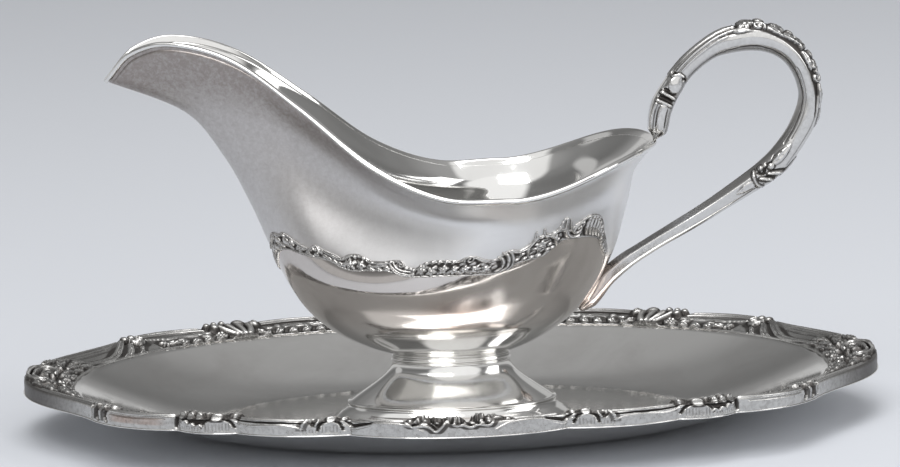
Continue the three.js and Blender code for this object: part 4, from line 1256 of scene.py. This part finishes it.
def handle_crest(relief):
    """Ornament on the outer side: v from its middle line."""
    relief.groove([(FLOWERS_START - 1, 2.4), (48, 2.4), (60, 2.2), (74, 1.6)], 3.2, 0.5)
    draw(
        relief.line,
        ([(17, 1.0), (26, 1.3), (FLOWERS_START, 1.6)], 0.55, 0.4, 1, 0.2),
        ([(19, 2.9), (28, 3.0), (FLOWERS_START + 1, 3.4)], 0.45, 0.35, 1, 0.3),
        ([(20, 4.0), (28, 4.2), (36, 4.6)], 0.3, 0.25, 1, 0.3),
        ([(70, 3.0), (80, 2.8), (90, 2.6)], 0.4, 0.3),
    )
    draw(
        relief.flower,
        ((41.0, 2.3), 2.5, 0.95), ((48.8, 1.2), 2.1, 0.95, 5, 20), ((55.4, 1.7), 2.2, 0.95, 5, 50),
        ((62.0, 1.5), 2.0, 0.9, 5, 10), ((69.6, 0.3), 1.7, 0.75),
    )
    draw(
        relief.leaf,
        ((37.6, 3.6), 20, 5.5, 2.2, 0.6), ((46.0, 2.8), 14, 5.4, 2.4, 0.8), ((50.6, 3.3), -12, 5.0, 2.3, 0.8),
        ((57.2, 3.4), 6, 5.6, 2.4, 0.8), ((66.6, 1.6), 4, 6.6, 2.4, 0.75), ((71.4, 0.8), 3, 6.5, 2.0, 0.6),
        ((87.0, 0.4), 3, 7.0, 2.6, 0.6),
    )
    draw(
        relief.knob,
        ((40.6, 0.0), 1.3, 1.0), ((44.2, 0.7), 1.4, 1.0), ((52.2, 0.3), 1.2, 0.95), ((59.2, 0.5), 1.3, 0.9),
        ((65.4, 0.4), 1.2, 0.85),
    )
    relief.scroll((44.2, 3.6), 1.6, 0.85, 20, hand=-1)
    relief.scroll((65.0, 2.9), 1.5, 0.8, 200)


def handle():
    """Both halves in one: sections round the middle line, with the ornament laid on."""
    s, line, tangent = handle_line()
    s = s - TIP_REACH
    total = s[-1]
    turn = np.linspace(-180, 180, HANDLE_COLUMNS, endpoint=False)[None, :]
    along_s = np.repeat(s[:, None], HANDLE_COLUMNS, axis=1)
    half = np.repeat(line[:, 2:3], HANDLE_COLUMNS, axis=1)
    around = np.broadcast_to(turn, along_s.shape)
    cos = np.cos(np.radians(around))
    sin = np.sin(np.radians(around))

    # A square section at the panel, round in the loop, six flats down the stem
    square = (np.abs(cos) ** 5 + np.abs(sin) ** 5) ** (-1 / 5)
    flats = sum(np.clip(np.cos(np.radians(around - a)), 0, 1) ** 16 for a in STEM_NORMALS) ** (-1 / 16)
    oval_flank = 1 - 0.08 * np.abs(sin) ** 6
    radius = mix(np.minimum(square, 1.16), oval_flank, smooth(PANEL_END, PANEL_END + 4, along_s))
    radius = mix(radius, flats * 0.93, smooth(STEM_START - 4, STEM_START + 3, along_s))
    radius = mix(radius, 1.0, smooth(total - 16, total - 8, along_s))

    side = np.radians(np.abs(around)) * half * FLANK_STRETCH
    flank = Relief(along_s, side - np.pi / 2 * half * FLANK_STRETCH)
    handle_face(flank)
    crest = Relief(along_s, side)
    handle_crest(crest)
    relief = np.where(crest.height < 0, crest.height, np.maximum(flank.height, crest.height))
    relief = np.where((flank.height < 0) & (crest.height == 0), flank.height, relief)

    # The tip on the rim comes to a blunt point
    tip = mix(0.25, 1, np.clip((along_s + TIP_REACH) / 2.6, 0.0, 1) ** 0.8)
    tip = tip * mix(0.2, 1, np.clip((total - along_s) / 4.0, 0.0, 1) ** 0.6)
    flowers = smooth(FLOWERS_START - 3, FLOWERS_START, along_s) * smooth(*FLOWERS_END, along_s)
    room = 1.0 - 0.12 * flowers * np.clip(cos, 0, 1)
    r = half * radius * tip * room + relief * tip * 0.9
    normal = np.stack([-tangent[:, 1], tangent[:, 0]], -1)
    depth = HANDLE_DEPTH_RATIO * mix(1, 1.35, smooth(total - 14, total - 4, along_s))
    points = np.stack([
        line[:, None, 0] + normal[:, None, 0] * r * cos,
        r * depth * sin,
        line[:, None, 1] + normal[:, None, 1] * r * cos,
    ], -1)
    # Darker in the grooves among the crest's petals, with painted shade about the raised ornament
    carved = recess_of(crest.height, 0.14, 0.8) * (crest.height > 0.02)
    dark = np.maximum(shadow_of(relief, 2, 0.5), carved)
    # The inner side of the loop is darkened with painted shade
    oxide_and_shade = np.maximum(dark, 0.42 * smooth(0.4, 0.72, -cos))
    wear = smooth(total - 24, total - 6, along_s)
    return sweep("handle_shaped", points, {"oxide_and_shade": oxide_and_shade, "copper": wear}, ends=True)


# Materials

def new_material(name):
    material = bpy.data.materials.new(name)
    material.use_nodes = True
    tree = material.node_tree
    shader = tree.nodes["Principled BSDF"]
    return material, tree, shader


def node(tree, kind, **values):
    """New node with its inputs or settings given by name."""
    made = tree.nodes.new(kind)
    for key, value in values.items():
        if key in made.inputs:
            made.inputs[key].default_value = value
        else:
            setattr(made, key, value)
    return made


def attribute(tree, name):
    return node(tree, "ShaderNodeAttribute", attribute_name=name, attribute_type="GEOMETRY").outputs["Fac"]


def noise(tree, scale, detail, roughness, distortion=0.0, stretch=None):
    coordinates = node(tree, "ShaderNodeTexCoord").outputs["Object"]
    if stretch:
        mapping = node(tree, "ShaderNodeMapping")
        mapping.inputs["Scale"].default_value = stretch
        tree.links.new(coordinates, mapping.inputs["Vector"])
        coordinates = mapping.outputs["Vector"]
    made = node(tree, "ShaderNodeTexNoise", Scale=scale, Detail=detail, Roughness=roughness,
                Distortion=distortion)
    tree.links.new(coordinates, made.inputs["Vector"])
    return made.outputs["Fac"]


def remap(tree, value, low, high, to_low, to_high):
    made = node(tree, "ShaderNodeMapRange")
    for name, limit in (("From Min", low), ("From Max", high), ("To Min", to_low), ("To Max", to_high)):
        made.inputs[name].default_value = limit
    tree.links.new(value, made.inputs["Value"])
    return made.outputs["Result"]


def maths(tree, operation, a, b):
    made = node(tree, "ShaderNodeMath", operation=operation)
    for k, value in enumerate((a, b)):
        if isinstance(value, (int, float)):
            made.inputs[k].default_value = value
        else:
            tree.links.new(value, made.inputs[k])
    return made.outputs["Value"]


def blend_colour(tree, share, a, b):
    made = node(tree, "ShaderNodeMix", data_type="RGBA")
    tree.links.new(share, made.inputs["Factor"])
    for socket, value in ((made.inputs[6], a), (made.inputs[7], b)):
        if isinstance(value, tuple):
            socket.default_value = value
        else:
            tree.links.new(value, socket)
    return made.outputs[2]


def bump(tree, height, strength, distance, normal=None):
    """Normal of a surface with a bumpy height on it, over another normal or the plain one."""
    made = node(tree, "ShaderNodeBump", Strength=strength, Distance=distance)
    tree.links.new(height, made.inputs["Height"])
    if normal is not None:
        tree.links.new(normal, made.inputs["Normal"])
    return made.outputs["Normal"]


# Part colours are copies of the one silver: the satin wall's is lighter, painted light, and the cast, frieze
# and handle ones are darker, painted shade
SILVER = (0.76, 0.755, 0.74, 1)
DULL_SILVER_LIT = (0.78, 0.78, 0.785, 1)
WARM_SILVER = (0.71, 0.675, 0.65, 1)
TARNISH_AND_SHADE_COLOUR = (0.31, 0.28, 0.265, 1)
OXIDE_AND_SHADE_COLOUR = (0.06, 0.055, 0.052, 1)
COPPER = (0.50, 0.345, 0.27, 1)
CAST_SILVER_SHADED = (0.66, 0.655, 0.64, 1)
STRUCK_SILVER_SHADED = (0.63, 0.62, 0.605, 1)
HANDLE_SILVER_SHADED = (0.66, 0.655, 0.645, 1)
# Depths in metres
FINE_GRAIN = 0.00001
SHEET_WAVES = 0.00002


def silver(name, roughness, smudge, base=SILVER, with_oxide_and_shade=False, satin=None, copper=None,
           tarnish=0.17, grime=0.36):
    """Silver plate: tint and gloss vary with smudges, recesses are dark with oxide and painted shade, thin
    plate shows copper.
    """
    material, tree, shader = new_material(name)
    shader.inputs["Metallic"].default_value = 1.0
    clouds = noise(tree, 38, 5, 0.6, 0.6)
    tarnish_and_shade_share = remap(tree, clouds, 0.42, 0.75, 0, tarnish)
    # On the wall, the tarnish field also carries painted shade on the spout
    if satin is not None:
        speckle = remap(tree, noise(tree, 700, 6, 0.8, 0.3), 0.35, 0.65, 0.78, 1.12)
        tarnish_and_shade_share = maths(tree, "MAXIMUM", tarnish_and_shade_share, maths(tree, "MULTIPLY", attribute(tree, "tarnish_and_shade"), speckle))
    streaks = noise(tree, 240, 3, 0.6, 0, (1, 1, 0.22))
    gloss = remap(tree, clouds, 0.3, 0.7, roughness, roughness + smudge)
    gloss = maths(tree, "ADD", gloss, remap(tree, streaks, 0.35, 0.75, 0, smudge * 0.6))
    if satin is not None:
        share = attribute(tree, "satin")
        gloss = maths(tree, "ADD", gloss, maths(tree, "MULTIPLY", share, satin))
        base = blend_colour(tree, attribute(tree, "outer"), base, WARM_SILVER)
        base = blend_colour(tree, share, base, DULL_SILVER_LIT)
    colour = blend_colour(tree, tarnish_and_shade_share, base, TARNISH_AND_SHADE_COLOUR)
    if copper is not None:
        patches = remap(tree, clouds, 0.35, 0.6, 0.25, copper)
        worn = maths(tree, "MULTIPLY", attribute(tree, "copper"), patches)
        colour = blend_colour(tree, worn, colour, COPPER)
    # Hollows and the ground about the ornament darken towards the dark colour: oxide, with painted shade
    if with_oxide_and_shade:
        specks = remap(tree, noise(tree, 900, 4, 0.7, 0.3), 0.42, 0.68, 0, grime)
        depth = attribute(tree, "oxide_and_shade")
        grimy = maths(tree, "MULTIPLY", specks, maths(tree, "SUBTRACT", 1.0, depth))
        depth = maths(tree, "ADD", depth, grimy)
        colour = blend_colour(tree, depth, colour, OXIDE_AND_SHADE_COLOUR)
        gloss = maths(tree, "ADD", gloss, maths(tree, "MULTIPLY", depth, 0.35))
    tree.links.new(colour, shader.inputs["Base Color"])
    tree.links.new(gloss, shader.inputs["Roughness"])
    # Fine grain, and the waves of hand-raised sheet
    grain = bump(tree, noise(tree, 900, 2, 0.5), 0.25, FINE_GRAIN)
    tree.links.new(bump(tree, noise(tree, 55, 2, 0.5), 1.0, SHEET_WAVES, grain), shader.inputs["Normal"])
    return material


def dress(piece, material, body, slot, *nodes):
    piece.data.materials.clear()
    piece.data.materials.append(material)
    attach(piece, body)
    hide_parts(*nodes)


polished = silver("polished silver", 0.06, 0.06)
dish = silver("dish silver", 0.07, 0.07, tarnish=0.22)
cast = silver("cast silver", 0.09, 0.08, CAST_SILVER_SHADED, True, copper=0.8, tarnish=0.22)
struck = silver("frieze silver", 0.12, 0.06, STRUCK_SILVER_SHADED, True, tarnish=0.28)
wall = silver("bowl silver", 0.06, 0.05, satin=0.28, copper=0.9)
handle_metal = silver("handle silver", 0.08, 0.06, HANDLE_SILVER_SHADED, True, copper=0.9, grime=0.14)

dress(underplate_sheet(), dish, "underplate", "polished_silver", "underplate_sheet")
END = NOTCHES[0]
for name, low, high in (
    ("border_right_end", -END, END), ("border_back_side", END, 180 - END),
    ("border_left_end", 180 - END, 180 + END), ("border_front_side", 180 + END, 360 - END),
):
    dress(border_casting(name + "_shaped", low, high), cast, "underplate", "cast_silver", name)
dress(foot_base_band(), polished, "boat", "polished_silver", "foot_base_band")
dress(pedestal_foot(), polished, "boat", "polished_silver", "pedestal_foot")
dress(neck_collar(), polished, "boat", "polished_silver", "neck_collar")
dress(bowl(), wall, "boat", "satin_silver", "bowl_back_half", "bowl_front_half")
dress(rim_wire(), wall, "boat", "polished_silver", "rim_wire")
dress(frieze_strip("frieze_back_shaped", 1), struck, "boat", "cast_silver", "frieze_back_strip")
dress(frieze_strip("frieze_front_shaped", -1), struck, "boat", "cast_silver", "frieze_front_strip")
dress(handle(), handle_metal, "boat", "cast_silver", "handle_back_half", "handle_front_half")


# Floor, light and camera, in metres

FLOOR_HALF = 6.0
FLOOR_DROP = 0.0001
FLOOR_COLOUR = (0.60, 0.62, 0.66, 1)
LIGHT_AIM = (0, 0, 0.05)
# Place, width and height, power in watts
AREA_LIGHTS = (
    ("key", (-0.35, -1.35, 1.5), (0.9, 0.9), 14),
    ("fill", (1.3, -0.6, 0.9), (0.7, 1.0), 6),
    ("top", (0.1, -0.25, 1.9), (1.2, 0.8), 12),
)


def floor():
    """Wide pale table top just under the underplate."""
    mesh = bpy.data.meshes.new("floor")
    corners = [(x * FLOOR_HALF, y * FLOOR_HALF, 0) for x, y in ((-1, -1), (1, -1), (1, 1), (-1, 1))]
    mesh.from_pydata(corners, [], [(0, 1, 2, 3)])
    piece = bpy.data.objects.new("floor", mesh)
    bpy.context.scene.collection.objects.link(piece)
    material, tree, shader = new_material("pale floor")
    shader.inputs["Base Color"].default_value = FLOOR_COLOUR
    shader.inputs["Roughness"].default_value = 0.7
    piece.data.materials.append(material)
    piece.location.z = -FLOOR_DROP


def stand(name, data, place, right, up, forward):
    """Light or camera at a place, with the directions of its picture."""
    item = bpy.data.objects.new(name, data)
    matrix = np.eye(4)
    matrix[:3, :3] = np.stack([right, up, -forward], 1)
    matrix[:3, 3] = place
    item.matrix_world = Matrix(matrix.tolist())
    bpy.context.scene.collection.objects.link(item)
    return item


def area_light(name, place, size, power):
    """Rectangular lamp that looks at the middle of the object."""
    light = bpy.data.lights.new(name, "AREA")
    light.shape = "RECTANGLE"
    light.size = size[0]
    light.size_y = size[1]
    light.energy = power
    direction = np.array(LIGHT_AIM, float) - np.array(place, float)
    forward = direction / np.linalg.norm(direction)
    right = np.cross(forward, (0, 0, 1.0))
    right = right / np.linalg.norm(right)
    stand(name, light, place, right, np.cross(right, forward), forward)


# Radiance of the room by the sine of the height above the horizon
ROOM_LEVELS = (
    (-1.0, 0.62), (0.2, 0.62), (0.23, 0.33), (0.38, 0.19), (0.62, 0.26), (0.8, 0.4), (1.0, 0.46),
)
# Round soft lamps in the room: compass degrees from +X, degrees above the horizon, half angle, level
ROOM_LAMPS = (
    (-98, 66, 33, 1.0), (-84, 26, 27, 1.12), (-28, 22, 9, 0.7), (62, 24, 9, 0.6), (170, 24, 10, 0.6),
)
LAMP_SOFTNESS = 7.0


def studio():
    world = bpy.data.worlds.new("studio")
    bpy.context.scene.world = world
    world.use_nodes = True
    tree = world.node_tree
    background = tree.nodes["Background"]
    direction = node(tree, "ShaderNodeTexCoord").outputs["Generated"]
    parts = node(tree, "ShaderNodeSeparateXYZ")
    tree.links.new(direction, parts.inputs["Vector"])
    ramp = node(tree, "ShaderNodeValToRGB")
    ramp.color_ramp.interpolation = "EASE"
    ramp.color_ramp.elements[1].position = 1
    for height, level in ROOM_LEVELS[1:-1]:
        ramp.color_ramp.elements.new((height + 1) / 2)
    for element, (height, level) in zip(ramp.color_ramp.elements, ROOM_LEVELS):
        element.position = (height + 1) / 2
        element.color = (level, level, level, 1)
    tree.links.new(remap(tree, parts.outputs["Z"], -1, 1, 0, 1), ramp.inputs["Fac"])
    level = ramp.outputs["Color"]
    for compass, rise, half, brightness in ROOM_LAMPS:
        a = math.radians(compass)
        e = math.radians(rise)
        towards = (math.cos(e) * math.cos(a), math.cos(e) * math.sin(a), math.sin(e))
        dot = node(tree, "ShaderNodeVectorMath", operation="DOT_PRODUCT")
        dot.inputs[1].default_value = towards
        tree.links.new(direction, dot.inputs[0])
        outer = math.cos(math.radians(half + LAMP_SOFTNESS))
        inner = math.cos(math.radians(half))
        share = remap(tree, dot.outputs["Value"], outer, inner, 0, brightness)
        level = maths(tree, "MAXIMUM", level, share)
    tree.links.new(level, background.inputs["Color"])
    background.inputs["Strength"].default_value = 1.0


CAMERA_PLACE = (-0.019361, -0.998742, 0.210477)
CAMERA_TURN = (0.0201, 0.1546, -0.0278)
FOCAL_PIXELS = 3498.78
PICTURE_WIDTH = 900
SENSOR_WIDTH = 36.0


def camera():
    """Camera fitted to the photograph: yaw from +Y, pitch downward, roll about its own axis."""
    yaw, pitch, roll = CAMERA_TURN
    forward = np.array([math.sin(yaw) * math.cos(pitch), math.cos(yaw) * math.cos(pitch), -math.sin(pitch)])
    level_right = np.array([math.cos(yaw), -math.sin(yaw), 0])
    level_up = np.cross(level_right, forward)
    right = math.cos(roll) * level_right + math.sin(roll) * level_up
    up = -math.sin(roll) * level_right + math.cos(roll) * level_up
    data = bpy.data.cameras.new("camera")
    data.sensor_width = SENSOR_WIDTH
    data.lens = FOCAL_PIXELS / PICTURE_WIDTH * SENSOR_WIDTH
    data.clip_start = 0.01
    data.clip_end = 50
    bpy.context.scene.camera = stand("camera", data, CAMERA_PLACE, right, up, forward)


floor()
studio()
for light in AREA_LIGHTS:
    area_light(*light)
camera()
bpy.context.scene.view_settings.view_transform = "Standard"
